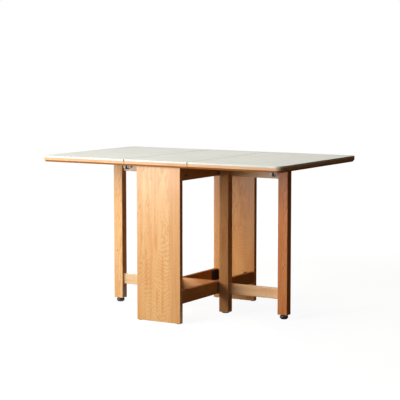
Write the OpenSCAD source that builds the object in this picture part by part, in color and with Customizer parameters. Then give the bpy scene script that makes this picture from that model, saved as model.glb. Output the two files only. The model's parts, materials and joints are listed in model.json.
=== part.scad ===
// Gate-leg dining table: a stone-topped oak table with two drop leaves and two swinging gates.
// Millimetres. X runs along the top, Y from front to back, Z up; the origin is on the floor
// under the middle of the top. The leaves are up and the gates stand open.

/* [Table top] */
// Length of the top with both leaves up
top_l = 1292; // [1200:1:1400]
// Depth of the top
top_d = 780; // [760:1:860]
// Height of the top face above the floor
table_h = 750; // [720:1:780]
// Width of the fixed centre panel
centre_w = 340; // [338:1:370]
// Gap between the centre panel and each leaf
seam_gap = 2; // [1.5:0.1:3]
// Corner radius of the leaves, seen from above
corner_r = 28; // [16:1:40]
// Thickness of the stone slabs
slab_t = 9; // [6:0.5:12]
// Bevel on the upper outer edge of the slabs
slab_bevel = 1; // [0.5:0.1:2]
// Thickness of the oak boards under the slabs
board_t = 20; // [18:0.5:26]
// Height of the bevel under the outer edges of the boards
bevel_h = 9; // [4:0.5:12]
// Reach of that bevel, measured inwards
bevel_in = 9; // [4:0.5:14]

/* [Planks and rails] */
// Width of the front and back planks
plank_w = 236; // [220:1:240]
// Thickness of the planks
plank_t = 24; // [20:0.5:28]
// Overhang of the top beyond the outer faces of the planks
plank_overhang = 26; // [20:1:50]
// Thickness of the rails that run between the planks
rail_t = 20; // [18:0.5:24]
// Setback of the long rails inside the side edges of the planks
rail_in = 3; // [1:0.5:4]
// Height of the aprons under the top
apron_h = 62; // [58:1:64]
// Height of the lower rails
low_rail_h = 59; // [57:1:64]
// Underside of the lower rails above the floor
low_rail_z = 91.5; // [80:0.5:110]
// Thickness of the cross rails that join the two long rails
cross_t = 20; // [18:0.5:24]
// Distance of the cross rails behind the middle of the table
cross_y = 2; // [0:0.5:6]
// Rounding of the long edges of planks and posts
edge_r = 2.5; // [1.5:0.1:4]
// Rounding of the long edges of the rails
rail_edge_r = 2; // [1:0.1:3]

/* [Gates] */
// Front face of the gate posts, measured from the middle of the table
gate_y = -15; // [-18:0.5:-12]
// Length of a gate over both posts
gate_l = 366; // [358:1:368]
// Width of the gate posts, along the gate
post_w = 50.5; // [46:0.5:52]
// Depth of the gate posts, from front to back
post_d = 39; // [37:0.5:42]
// Gap between a long rail and the inner post
gate_gap = 5.5; // [5.2:0.1:6.5]
// Thickness of the gate rails
gate_rail_t = 19; // [16:0.5:19.5]
// Height of the gate rails
gate_rail_h = 52; // [48:0.5:54]
// Setback of the gate rails behind the front faces of the posts
gate_setback = 13; // [11:0.5:16]
// Gap between the upper gate rail and the underside of the top
gate_drop = 11.5; // [8:0.5:14]
// Underside of the lower gate rail above the floor
gate_low_z = 92; // [80:1:110]
// Gap between the post tops and the underside of the leaves
post_top_gap = 0.4; // [0.3:0.1:1]

/* [Feet and glides] */
// Height of a levelling foot, and so of the outer post above the floor
foot_h = 21; // [18:0.5:26]
// Widest diameter of a levelling foot
foot_d = 39.5; // [32:0.5:42]
// Diameter of the flat top and underside of a levelling foot
foot_end_d = 28; // [24:0.5:30]
// Gap between a levelling foot and its post
foot_gap = 0.3; // [0.3:0.1:1]
// Diameter of the foot's stud
stud_d = 8; // [6:0.5:8]
// Length of the stud above the foot
stud_l = 28; // [24:1:34]
// Depth of the stud in the foot
stud_in_foot = 12; // [8:1:14]
// Height of the slopes at the top and the bottom of a levelling foot
foot_slope_h = 7; // [4:0.5:8]
// Outer diameter of the threaded insert
insert_d = 13; // [11:0.5:14]
// Length of the threaded insert
insert_l = 22; // [16:1:24]
// Thickness of the glides under the planks
plank_glide_t = 2; // [1.5:0.5:4]
// Thickness of the glides under the inner posts
glide_t = 5; // [2:0.5:6]
// Diameter of the glides under the inner posts
glide_d = 36; // [26:1:37]
// Diameter of the glides under the planks
plank_glide_d = 20; // [14:1:22]
// Distance of the middle of a glide from the side edge of its plank
plank_glide_in = 14; // [12:1:40]
// Diameter of the nail that holds a glide
glide_nail_d = 3; // [2:0.5:4]
// Length of the nail
glide_nail_l = 14; // [10:1:20]

/* [Bumpers] */
// Diameter of the bumper on the front of each outer post
bumper_d = 8; // [6:0.5:10]
// Diameter of the bumper's nose
bumper_nose_d = 5; // [3:0.5:6]
// Height of the slope round the nose
bumper_slope_h = 1.5; // [0.5:0.5:2]
// Height of the bumper above the floor
bumper_z = 262; // [200:1:400]
// Distance of the bumper outside the middle of its post
bumper_out = 7.5; // [0:0.5:12]
// Diameter of the bumper's stem in the post
bumper_stem_d = 4; // [3:0.5:5]
// Length of the stem
bumper_stem_l = 8; // [6:1:12]

/* [Leaf hinges] */
// Length of a leaf hinge
flap_l = 60; // [50:1:66]
// Width of one plate of a leaf hinge, from the middle of its pin
flap_w = 28; // [24:0.5:32]
// Distance of the inner hinges from the middle of the table
flap_near = 130; // [125:1:140]
// Distance of the outer hinges from the middle of the table
flap_far = 268; // [258:1:272]
// Distance of the pin below the underside of the boards
flap_drop = 1; // [0.8:0.1:1.4]
// Spacing of the screws along a leaf hinge
flap_screw_pitch = 21; // [18:0.5:22]

/* [Gate hinges] */
// Height of a gate hinge
butt_h = 57; // [50:0.5:57]
// Width of one plate of a gate hinge, beyond the front faces of the posts
butt_w = 28; // [24:0.5:30]
// Spacing of the screws along a gate hinge
butt_screw_pitch = 20; // [18:0.5:21]

/* [Hinge stock] */
// Thickness of every hinge plate
plate_t = 2; // [1.5:0.1:2.2]
// Radius of every hinge knuckle
knuckle_r = 3.2; // [3:0.1:3.4]
// Diameter of every hinge pin
pin_d = 3; // [2.4:0.1:3.4]
// Number of knuckles on a hinge
knuckles = 5; // [3:2:7]

/* [Catches] */
// Length of a catch housing
catch_l = 42; // [40:0.5:46]
// Height of a catch housing
catch_h = 15; // [13:0.5:16]
// Depth of the middle of a catch housing
catch_t = 13; // [12:0.5:14]
// Length of the deep middle of a catch housing
catch_mid_l = 19; // [17:0.5:20]
// Thickness of the screw ears of a catch housing
catch_ear_t = 9; // [7:0.5:10]
// Gap between a catch and the outer post
catch_gap = 5.5; // [4:0.5:10]
// Height of the middle of a catch above the underside of its rail
catch_up = 23; // [16:0.5:28]
// Length of the magnet
magnet_l = 13; // [10:0.5:14]
// Height of the magnet
magnet_h = 19; // [14:0.5:20]
// Height of the top of the magnet above the middle of its housing
magnet_up = 6; // [4:0.5:6]
// Depth of the magnet's pocket
magnet_t = 10; // [7:0.5:10]
// Diameter of the head of a strike pin
strike_d = 12; // [10:0.5:14]
// Thickness of the head of a strike pin
strike_t = 2.5; // [2:0.5:4]
// Diameter of the stem of a strike pin
strike_stem_d = 6; // [5:0.5:8]
// Length of a strike pin's screw in the apron
strike_screw_l = 14; // [10:1:16]
// Length of the catch screws
catch_screw_l = 13; // [12:0.5:13.5]

/* [Brackets] */
// Leg of a corner bracket along the rail
corner_leg = 60; // [56:1:64]
// Leg of a corner bracket along the plank
corner_short = 36; // [32:1:40]
// Height of a corner bracket
corner_h = 50; // [46:1:56]
// Steel thickness of the corner brackets
corner_t = 2.5; // [2:0.5:3]
// Distance of the first screws from the corner
corner_screw_in = 16; // [14:0.5:18]
// Distance between the two rows of screws on the long leg
corner_screw_pitch = 30; // [26:0.5:32]
// Height of the corner screws above and below the middle of the bracket
corner_screw_up = 14; // [12:0.5:15]
// Leg of a small top bracket
cleat_leg = 28; // [24:1:32]
// Width of a small top bracket
cleat_w = 20; // [16:1:24]
// Steel thickness of the small top brackets
cleat_t = 2; // [1.5:0.5:3]
// Distance of the screws from the corner of a small top bracket
cleat_screw_in = 17; // [15:0.5:19]
// Distance of the apron's top brackets from the middle of the table
cleat_y = 170; // [120:5:220]
// Distance of the plank's top brackets from the middle of the table
cleat_x = 40; // [20:5:50]

/* [Screws and dowels] */
// Shank diameter of the countersunk hinge screws
csk_d = 3.5; // [3:0.1:3.8]
// Head diameter of the countersunk hinge screws
csk_head_d = 7; // [6:0.1:7.4]
// Length of the countersunk hinge screws
csk_l = 14; // [12:1:15]
// Shank diameter of the round-head screws
pan_d = 4; // [3.5:0.1:4.4]
// Head diameter of the round-head screws
pan_head_d = 8; // [7:0.1:9]
// Head height of the round-head screws
pan_head_h = 2.5; // [2:0.1:3]
// Diameter of the flat on top of a round head
pan_top_d = 4.8; // [4:0.1:6]
// Length of the round-head screws under the head
pan_l = 15; // [12:1:16]
// Diameter of the beech dowels
dowel_d = 8; // [6:0.5:8]
// Depth of a dowel in the end of a rail
dowel_end = 20; // [16:1:24]
// Depth of a dowel in the plank or post it meets
dowel_face = 14; // [10:1:16]
// Depth of a cross rail's dowel in the long rail
cross_dowel_face = 8; // [6:0.5:9]
// Height of the dowels above and below the middle of a plank joint
dowel_up = 22; // [21:0.5:23]
// Height of the dowels above and below the middle of the other joints
dowel_up_small = 10; // [9:0.5:12]

/* [Clearances] */
// Radial clearance of a pin or stud that turns in its bore
run_clear = 0.06; // [0.04:0.01:0.09]
// Clearance round screws, dowels, inserts and the magnet
fit_clear = 0.1; // [0.05:0.01:0.2]
// Clearance between a turning knuckle and what it passes
hinge_clear = 0.3; // [0.3:0.05:0.4]
// Clearance beyond the blind end of a screw or dowel
end_clear = 0.5; // [0.3:0.1:1]

/* [Hidden] */
$fn = 48;

left = -1;
right = 1;
front = -1;
back = 1;
stone_colour = "#e6e6df";
oak_colour = "#c98f5a";
oak_edge_colour = "#b57a45";
dowel_colour = "#dcc39a";
black_colour = "#1f1f21";
steel_colour = "#9aa0a6";
brown_colour = "#3a2415";
white_colour = "#f1f0ea";
bumper_colour = "#b9b3a0";
// How far a cut runs past the face that it opens, and a knuckle's web into its plate
over = 1;

under_z = table_h - slab_t - board_t;
end_x = top_l / 2;
leaf_x = centre_w / 2 + seam_gap;
seam_x = centre_w / 2 + seam_gap / 2;
flap_z = under_z - flap_drop;
flap_ys = [-flap_far, -flap_near, flap_near, flap_far];

plank_y = top_d / 2 - plank_overhang;
bay_y = plank_y - plank_t;
rail_x = plank_w / 2 - rail_in;
bay_x = rail_x - rail_t;
rail_mid_x = rail_x - rail_t / 2;
apron_z = under_z - apron_h;
apron_mid_z = apron_z + apron_h / 2;
low_rail_mid_z = low_rail_z + low_rail_h / 2;
joint_zs = [low_rail_mid_z, apron_mid_z];

post_x = rail_x + gate_gap;
post_inner_x = post_x + post_w;
post_end_x = post_x + gate_l;
post_outer_x = post_end_x - post_w;
post_mid_y = gate_y + post_d / 2;
post_top = under_z - post_top_gap;
gate_rail_y = gate_y + gate_setback;
gate_high_z = under_z - gate_drop - gate_rail_h;
gate_rail_zs = [gate_low_z, gate_high_z];
foot_x = post_end_x - post_w / 2;
glide_x = post_x + post_w / 2;
bumper_x = foot_x + bumper_out;

knuckle_reach = knuckle_r + hinge_clear;
butt_x = rail_x + knuckle_reach;
butt_y = gate_y - knuckle_reach;
butt_screw_y = gate_y + butt_w / 2;
bumper_h = 2 * knuckle_reach - hinge_clear - rail_in;

catch_x = post_outer_x - catch_gap - catch_l / 2;
catch_z = gate_high_z + catch_up;
catch_ear_l = (catch_l - catch_mid_l) / 2;
catch_screw_x = catch_l / 2 - catch_ear_l / 2;
strike_y = butt_y - (catch_x - butt_x);
strike_tip_x = butt_x + gate_rail_y - catch_t - butt_y - hinge_clear;

// Draws its children on one side of the table; they are modelled on the right-hand side.
module on_side(side) {
    mirror([side < 0 ? 1 : 0, 0, 0]) children();
}

module on_both_sides() {
    for (side = [left, right]) on_side(side) children();
}

module front_and_back() {
    for (turn = [0, 1]) mirror([0, turn, 0]) children();
}

module rounded_rectangle(w, d, r) {
    square([w - 2 * r, d], center = true);
    square([w, d - 2 * r], center = true);
    for (x = [-1, 1], y = [-1, 1])
        translate([x * (w / 2 - r), y * (d / 2 - r)]) circle(r = r);
}

// Bars with rounded long edges, each given by its lowest corner and its size
module bar_along_z(x, y, z, w, d, h, r) {
    translate([x + w / 2, y + d / 2, z]) linear_extrude(h) rounded_rectangle(w, d, r);
}

module bar_along_y(x, y, z, w, d, h, r) {
    translate([x + w / 2, y + d, z + h / 2]) rotate([90, 0, 0])
        linear_extrude(d) rounded_rectangle(w, h, r);
}

module bar_along_x(x, y, z, w, d, h, r) {
    translate([x, y + d / 2, z + h / 2]) rotate([90, 0, 90])
        linear_extrude(w) rounded_rectangle(d, h, r);
}

// Countersunk screw with its head flush at z = 0 and its tip pointing down
module csk_screw(l = csk_l, grow = 0, deeper = 0) {
    cone_h = (csk_head_d - csk_d) / 2;
    translate([0, 0, -l - deeper]) cylinder(h = l + deeper, r = csk_d / 2 + grow);
    translate([0, 0, -cone_h])
        cylinder(h = cone_h, r1 = csk_d / 2 + grow, r2 = csk_head_d / 2 + grow);
}

// Round-head screw with its head sitting on z = 0 and its tip pointing down
module pan_screw() {
    translate([0, 0, -pan_l]) cylinder(h = pan_l, d = pan_d);
    cylinder(h = pan_head_h / 2, d = pan_head_d);
    translate([0, 0, pan_head_h / 2])
        cylinder(h = pan_head_h / 2, d1 = pan_head_d, d2 = pan_top_d);
}

module pan_hole() {
    translate([0, 0, -pan_l - end_clear])
        cylinder(h = pan_l + 2 * end_clear, r = pan_d / 2 + fit_clear);
}

module csk_hole(l = csk_l) {
    csk_screw(l, fit_clear, end_clear);
}

// Places of repeated pieces. Each draws its children at every place on the right-hand side.
module at_flap_hinges() {
    for (y = flap_ys) translate([seam_x, y, flap_z]) children();
}

// Screws of the leaf hinges on the centre board (toward = -1) or on the leaf board (toward = 1)
module at_flap_screws(toward) {
    reach = (flap_w + knuckle_reach) / 2;
    for (y = flap_ys, step = [-1, 0, 1])
        translate([seam_x + toward * reach, y + step * flap_screw_pitch, under_z])
            mirror([0, 0, 1]) children();
}

module at_butt_hinges() {
    for (z = joint_zs) translate([butt_x, butt_y, z]) children();
}

// Screws of the gate hinges: head at x, tip toward = -1 into the rail or 1 into the post
module at_butt_screws(x, toward) {
    for (z = joint_zs, step = [-1, 0, 1])
        translate([x, butt_screw_y, z + step * butt_screw_pitch])
            rotate([0, -toward * 90, 0]) children();
}

module at_rail_butt_screws() {
    at_butt_screws(rail_x + plate_t, -1) children();
}

module at_post_butt_screws() {
    at_butt_screws(post_x - plate_t, 1) children();
}

// Screws of the corner brackets into the long rails
module at_corner_rail_screws() {
    front_and_back()
        for (z = joint_zs, up = [-1, 1], row = [0, 1])
            translate([
                bay_x - corner_t,
                bay_y - corner_screw_in - row * corner_screw_pitch,
                z + up * corner_screw_up
            ]) rotate([0, -90, 0]) children();
}

// Screws of the corner brackets into the planks
module at_corner_plank_screws() {
    front_and_back()
        for (z = joint_zs, up = [-1, 1])
            translate([
                bay_x - (corner_short + corner_t) / 2,
                bay_y - corner_t,
                z + up * corner_screw_up
            ]) rotate([90, 0, 0]) children();
}

// The small top brackets sit with their corner at the origin, one leg up against -X or -Y
module at_apron_cleats() {
    front_and_back() translate([bay_x, cleat_y, under_z]) children();
}

module at_plank_cleats() {
    front_and_back() translate([cleat_x, bay_y, under_z]) rotate([0, 0, 90]) children();
}

// Dowels lie along the axis they are turned to, with z = 0 on the joint face
module at_plank_joint_dowels() {
    front_and_back()
        for (z = joint_zs, up = [-1, 1])
            translate([rail_mid_x, bay_y, z + up * dowel_up]) rotate([-90, 0, 0]) children();
}

module at_cross_joint_dowels() {
    for (z = joint_zs, up = [-1, 1])
        translate([bay_x, cross_y, z + up * dowel_up_small]) rotate([0, 90, 0]) children();
}

module at_gate_dowels(x, toward) {
    for (z = gate_rail_zs, up = [-1, 1])
        translate([
            x,
            gate_rail_y + gate_rail_t / 2,
            z + gate_rail_h / 2 + up * dowel_up_small
        ]) rotate([0, toward * 90, 0]) children();
}

module at_inner_post_dowels() {
    at_gate_dowels(post_inner_x, -1) children();
}

module at_outer_post_dowels() {
    at_gate_dowels(post_outer_x, 1) children();
}

// Dowel with its rail end below z = 0 and its face end above; a hole is a grown dowel
module dowel(face_depth, grow = 0, deeper = 0) {
    translate([0, 0, -dowel_end - deeper])
        cylinder(h = dowel_end + face_depth + 2 * deeper, r = dowel_d / 2 + grow);
}

module dowel_hole(face_depth) {
    dowel(face_depth, fit_clear, end_clear);
}

// Layer of the centre panel whose front and back edges slope
module centre_layer(z, h, low_in, high_in) {
    side = top_d / 2;
    translate([-centre_w / 2, 0, z]) rotate([90, 0, 90]) linear_extrude(centre_w)
        polygon([
            [-side + low_in, 0], [side - low_in, 0],
            [side - high_in, h], [-side + high_in, h]
        ]);
}

// Layer of the right-hand leaf whose front, back and end edges slope, with round corners
module leaf_layer(z, h, low_in, high_in) {
    side = top_d / 2;
    turn_x = end_x - corner_r;
    turn_y = side - corner_r;
    translate([leaf_x, 0, z]) rotate([90, 0, 90]) linear_extrude(turn_x - leaf_x)
        polygon([
            [-side + low_in, 0], [side - low_in, 0],
            [side - high_in, h], [-side + high_in, h]
        ]);
    translate([turn_x, turn_y, z]) rotate([90, 0, 0]) linear_extrude(2 * turn_y)
        polygon([[0, 0], [corner_r - low_in, 0], [corner_r - high_in, h], [0, h]]);
    for (turn = [0, 1]) mirror([0, turn, 0])
        translate([turn_x, turn_y, z]) rotate_extrude(angle = 90)
            polygon([[0, 0], [corner_r - low_in, 0], [corner_r - high_in, h], [0, h]]);
}

// Recess for one leaf hinge in the underside of a board (toward = -1 centre, 1 leaf)
module flap_recess(toward) {
    wide = flap_w + fit_clear;
    translate([toward > 0 ? 0 : -wide, -flap_l / 2 - fit_clear, flap_drop - over])
        cube([wide, flap_l + 2 * fit_clear, plate_t + over]);
    rotate([90, 0, 0])
        cylinder(h = flap_l + 2 * fit_clear, r = knuckle_reach + fit_clear, center = true);
}

module centre_board() {
    color(oak_colour) difference() {
        union() {
            centre_layer(under_z, bevel_h, bevel_in, 0);
            centre_layer(under_z + bevel_h, board_t - bevel_h, 0, 0);
        }
        on_both_sides() {
            at_flap_hinges() flap_recess(-1);
            at_flap_screws(-1) csk_hole();
            at_apron_cleats() cleat_top_screw() pan_hole();
            at_plank_cleats() cleat_top_screw() pan_hole();
        }
    }
}

module centre_slab() {
    z = table_h - slab_t;
    color(stone_colour) {
        centre_layer(z, slab_t - slab_bevel, 0, 0);
        centre_layer(z + slab_t - slab_bevel, slab_bevel, 0, slab_bevel);
    }
}

module leaf_board(side) {
    color(oak_colour) on_side(side) difference() {
        union() {
            leaf_layer(under_z, bevel_h, bevel_in, 0);
            leaf_layer(under_z + bevel_h, board_t - bevel_h, 0, 0);
        }
        at_flap_hinges() flap_recess(1);
        at_flap_screws(1) csk_hole();
    }
}

module leaf_slab(side) {
    z = table_h - slab_t;
    color(stone_colour) on_side(side) {
        leaf_layer(z, slab_t - slab_bevel, 0, 0);
        leaf_layer(z + slab_t - slab_bevel, slab_bevel, 0, slab_bevel);
    }
}

// Height and place of knuckle number i on a hinge of length l
function knuckle_l(l) = (l - (knuckles - 1) * hinge_clear) / knuckles;
function knuckle_z(l, i) = -l / 2 + i * (knuckle_l(l) + hinge_clear);

// One plate of a hinge whose pin lies on z, with the odd or the even knuckles.
// The plate's face lies between near and near + plate_t on y, and it runs to w on x.
module hinge_plate(l, w, near, odd) {
    first = odd ? 1 : 0;
    difference() {
        union() {
            translate([knuckle_reach, near, -l / 2]) cube([w - knuckle_reach, plate_t, l]);
            for (i = [first : 2 : knuckles - 1]) translate([0, 0, knuckle_z(l, i)]) {
                cylinder(h = knuckle_l(l), r = knuckle_r);
                translate([0, near, 0]) cube([knuckle_reach + over, plate_t, knuckle_l(l)]);
            }
        }
        cylinder(h = l + 2 * over, r = pin_d / 2 + run_clear, center = true);
    }
}

module hinge_pin(l) {
    cylinder(h = l, d = pin_d, center = true);
}

// Leaf hinges: the pin lies along Y, and the plates lie in the undersides of the boards
module flap_plate(toward) {
    mirror([toward < 0 ? 1 : 0, 0, 0]) rotate([90, 0, 0])
        hinge_plate(flap_l, flap_w, flap_drop, toward > 0);
}

module leaf_hinge_centre_plates() {
    color(steel_colour) on_both_sides() difference() {
        at_flap_hinges() flap_plate(-1);
        at_flap_screws(-1) csk_hole();
    }
}

module leaf_hinge_plates(side) {
    color(steel_colour) on_side(side) difference() {
        at_flap_hinges() flap_plate(1);
        at_flap_screws(1) csk_hole();
    }
}

module leaf_hinge_pins() {
    color(steel_colour) on_both_sides() at_flap_hinges() rotate([90, 0, 0]) hinge_pin(flap_l);
}

module leaf_hinge_screws(side) {
    color(steel_colour) on_side(side) at_flap_screws(1) csk_screw();
}

// Gate hinges: the pin stands upright in front of the gap between long rail and post
module butt_plate(near, odd) {
    mirror([1, -1, 0]) hinge_plate(butt_h, butt_w + knuckle_reach, near, odd);
}

module gate_hinge_rail_plates() {
    color(black_colour) on_both_sides() difference() {
        at_butt_hinges() butt_plate(-knuckle_reach, false);
        at_rail_butt_screws() csk_hole();
    }
}

module gate_hinge_plates(side) {
    color(black_colour) on_side(side) difference() {
        at_butt_hinges() butt_plate(post_x - plate_t - butt_x, true);
        at_post_butt_screws() csk_hole();
    }
}

module gate_hinge_pins() {
    color(steel_colour) on_both_sides() at_butt_hinges() hinge_pin(butt_h);
}

module gate_hinge_screws(side) {
    color(steel_colour) on_side(side) at_post_butt_screws() csk_screw();
}

// The screws of both kinds of hinge that hold in the frame
module frame_hinge_screws() {
    color(steel_colour) on_both_sides() {
        at_flap_screws(-1) csk_screw();
        at_rail_butt_screws() csk_screw();
    }
}

// Frame: two planks joined by two aprons, two lower rails and two cross rails
module plank(face) {
    color(oak_colour) difference() {
        mirror([0, face < 0 ? 1 : 0, 0])
            bar_along_z(
                -plank_w / 2, bay_y, plank_glide_t,
                plank_w, plank_t, under_z - plank_glide_t, edge_r
            );
        on_both_sides() {
            at_plank_joint_dowels() dowel_hole(dowel_face);
            at_corner_plank_screws() pan_hole();
            at_plank_cleats() cleat_side_screw() pan_hole();
            at_plank_glides() glide_nail_hole(plank_glide_t);
            strike_hole();
        }
    }
}

module long_rail(side, z, h) {
    color(oak_edge_colour) on_side(side) difference() {
        bar_along_y(bay_x, -bay_y, z, rail_t, 2 * bay_y, h, rail_edge_r);
        at_plank_joint_dowels() dowel_hole(dowel_face);
        at_cross_joint_dowels() dowel_hole(cross_dowel_face);
        at_rail_butt_screws() csk_hole();
        at_corner_rail_screws() pan_hole();
        at_apron_cleats() cleat_side_screw() pan_hole();
        strike_hole();
    }
}

module cross_rail(z, h) {
    color(oak_edge_colour) difference() {
        bar_along_x(-bay_x, cross_y - cross_t / 2, z, 2 * bay_x, cross_t, h, rail_edge_r);
        on_both_sides() at_cross_joint_dowels() dowel_hole(cross_dowel_face);
    }
}

module frame_dowels() {
    color(dowel_colour) on_both_sides() {
        at_plank_joint_dowels() dowel(dowel_face);
        at_cross_joint_dowels() dowel(cross_dowel_face);
    }
}

// Corner bracket: the long leg lies on the rail, the short leg on the plank
module corner_bracket() {
    translate([bay_x - corner_t, bay_y - corner_leg, -corner_h / 2])
        cube([corner_t, corner_leg, corner_h]);
    translate([bay_x - corner_short, bay_y - corner_t, -corner_h / 2])
        cube([corner_short, corner_t, corner_h]);
}

module corner_brackets() {
    color(brown_colour) on_both_sides() difference() {
        front_and_back() for (z = joint_zs) translate([0, 0, z]) corner_bracket();
        at_corner_rail_screws() pan_hole();
        at_corner_plank_screws() pan_hole();
    }
}

module corner_screws() {
    color(black_colour) on_both_sides() {
        at_corner_rail_screws() pan_screw();
        at_corner_plank_screws() pan_screw();
    }
}

// Small top bracket in the corner between an apron at +X and the board above
module cleat() {
    translate([-cleat_leg, -cleat_w / 2, -cleat_t]) cube([cleat_leg, cleat_w, cleat_t]);
    translate([-cleat_t, -cleat_w / 2, -cleat_leg]) cube([cleat_t, cleat_w, cleat_leg]);
}

module cleat_top_screw() {
    translate([-cleat_screw_in, 0, -cleat_t]) mirror([0, 0, 1]) children();
}

module cleat_side_screw() {
    translate([-cleat_t, 0, -cleat_screw_in]) rotate([0, -90, 0]) children();
}

module at_all_cleats() {
    at_apron_cleats() children();
    at_plank_cleats() children();
}

module top_brackets() {
    color(black_colour) on_both_sides() at_all_cleats() difference() {
        cleat();
        cleat_top_screw() pan_hole();
        cleat_side_screw() pan_hole();
    }
}

module top_bracket_screws() {
    color(steel_colour) on_both_sides() at_all_cleats() {
        cleat_top_screw() pan_screw();
        cleat_side_screw() pan_screw();
    }
}

// Gate pieces
module inner_post(side) {
    color(oak_colour) on_side(side) difference() {
        bar_along_z(post_x, gate_y, glide_t, post_w, post_d, post_top - glide_t, edge_r);
        at_post_butt_screws() csk_hole();
        at_inner_post_dowels() dowel_hole(dowel_face);
        at_post_glide() glide_nail_hole(glide_t);
    }
}

module outer_post(side) {
    color(oak_colour) on_side(side) difference() {
        bar_along_z(post_outer_x, gate_y, foot_h, post_w, post_d, post_top - foot_h, edge_r);
        at_outer_post_dowels() dowel_hole(dowel_face);
        translate([foot_x, post_mid_y, foot_h - over])
            cylinder(h = insert_l + over + fit_clear, r = insert_d / 2 + fit_clear);
        translate([foot_x, post_mid_y, foot_h])
            cylinder(h = stud_l + 2 * end_clear, r = stud_d / 2 + end_clear);
        at_bumper() translate([0, 0, -bumper_stem_l - end_clear])
            cylinder(h = bumper_stem_l + end_clear + over, r = bumper_stem_d / 2 + fit_clear);
    }
}

module gate_rail(side, z) {
    color(oak_edge_colour) on_side(side) difference() {
        bar_along_x(
            post_inner_x, gate_rail_y, z,
            post_outer_x - post_inner_x, gate_rail_t, gate_rail_h, rail_edge_r
        );
        at_inner_post_dowels() dowel_hole(dowel_face);
        at_outer_post_dowels() dowel_hole(dowel_face);
        at_catch_screws() csk_hole(catch_screw_l);
    }
}

module gate_dowels(side) {
    color(dowel_colour) on_side(side) {
        at_inner_post_dowels() dowel(dowel_face);
        at_outer_post_dowels() dowel(dowel_face);
    }
}

// Catch: a housing with two screw ears round a magnet, on the front of the upper gate rail
module at_catch() {
    translate([catch_x, gate_rail_y, catch_z]) children();
}

module at_catch_screws() {
    at_catch() for (end = [-1, 1])
        translate([end * catch_screw_x, -catch_ear_t, 0]) rotate([90, 0, 0]) children();
}

module magnet_block(grow) {
    translate([-magnet_l / 2 - grow, -catch_t - grow, magnet_up - magnet_h - grow])
        cube([magnet_l + 2 * grow, magnet_t + grow, magnet_h + 2 * grow]);
}

module catch_body(side) {
    color(white_colour) on_side(side) difference() {
        at_catch() union() {
            translate([-catch_l / 2, -catch_ear_t, -catch_h / 2])
                cube([catch_l, catch_ear_t, catch_h]);
            translate([-catch_mid_l / 2, -catch_t, -catch_h / 2])
                cube([catch_mid_l, catch_t, catch_h]);
        }
        at_catch() magnet_block(fit_clear);
        at_catch_screws() csk_hole(catch_screw_l);
    }
}

module catch_magnet(side) {
    color(black_colour) on_side(side) at_catch() magnet_block(0);
}

module catch_screws(side) {
    color(steel_colour) on_side(side) at_catch_screws() csk_screw(catch_screw_l);
}

// Strike pin: where the catch's magnet arrives when the gate is folded away
module at_strike_pin() {
    translate([rail_x, strike_y, catch_z]) rotate([0, 90, 0]) children();
}

module strike_screw(grow = 0, deeper = 0) {
    translate([0, 0, -strike_screw_l - deeper])
        cylinder(h = strike_screw_l + deeper, r = pan_d / 2 + grow);
}

// The screw goes into the apron, or into the plank where a gate is long enough to reach it
module strike_hole() {
    at_strike_pin() strike_screw(fit_clear, end_clear);
}

module strike_pins() {
    stand = strike_tip_x - rail_x;
    color(black_colour) on_both_sides() at_strike_pin() {
        strike_screw();
        cylinder(h = stand, d = strike_stem_d);
        translate([0, 0, stand - strike_t]) cylinder(h = strike_t, d = strike_d);
    }
}

// Glides: each is a disc with its nail
module at_plank_glides() {
    front_and_back()
        translate([plank_w / 2 - plank_glide_in, bay_y + plank_t / 2, 0]) children();
}

module at_post_glide() {
    translate([glide_x, post_mid_y, 0]) children();
}

module nailed_disc(d, t) {
    cylinder(h = t, d = d);
    cylinder(h = t + glide_nail_l, d = glide_nail_d);
}

module glide_nail_hole(t) {
    cylinder(h = t + glide_nail_l + end_clear, r = glide_nail_d / 2 + fit_clear);
}

module plank_glides() {
    color(black_colour) on_both_sides() at_plank_glides()
        nailed_disc(plank_glide_d, plank_glide_t);
}

module glide(side) {
    color(black_colour) on_side(side) at_post_glide() nailed_disc(glide_d, glide_t);
}

// Bumper on the front of the outer post, low enough to clear the front plank when folded
module at_bumper() {
    translate([bumper_x, gate_y, bumper_z]) rotate([90, 0, 0]) children();
}

module bumper(side) {
    color(bumper_colour) on_side(side) at_bumper() rotate_extrude() polygon([
        [0, -bumper_stem_l], [bumper_stem_d / 2, -bumper_stem_l], [bumper_stem_d / 2, 0],
        [bumper_d / 2, 0], [bumper_d / 2, bumper_h - bumper_slope_h],
        [bumper_nose_d / 2, bumper_h], [0, bumper_h]
    ]);
}

// Levelling foot under the outer post
module foot(side) {
    body_h = foot_h - foot_gap;
    color(black_colour) on_side(side) translate([foot_x, post_mid_y, 0])
        rotate_extrude() polygon([
            [0, 0], [foot_end_d / 2, 0],
            [foot_d / 2, foot_slope_h], [foot_d / 2, body_h - foot_slope_h],
            [foot_end_d / 2, body_h], [stud_d / 2, body_h],
            [stud_d / 2, body_h - stud_in_foot], [0, body_h - stud_in_foot]
        ]);
}

module foot_stud(side) {
    z = foot_h - foot_gap - stud_in_foot;
    color(steel_colour) on_side(side) translate([foot_x, post_mid_y, z])
        cylinder(h = foot_h + stud_l - z, r = stud_d / 2 - run_clear);
}

module foot_insert(side) {
    color(steel_colour) on_side(side) translate([foot_x, post_mid_y, foot_h]) difference() {
        cylinder(h = insert_l, d = insert_d);
        translate([0, 0, -over]) cylinder(h = insert_l + 2 * over, d = stud_d);
    }
}

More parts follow.
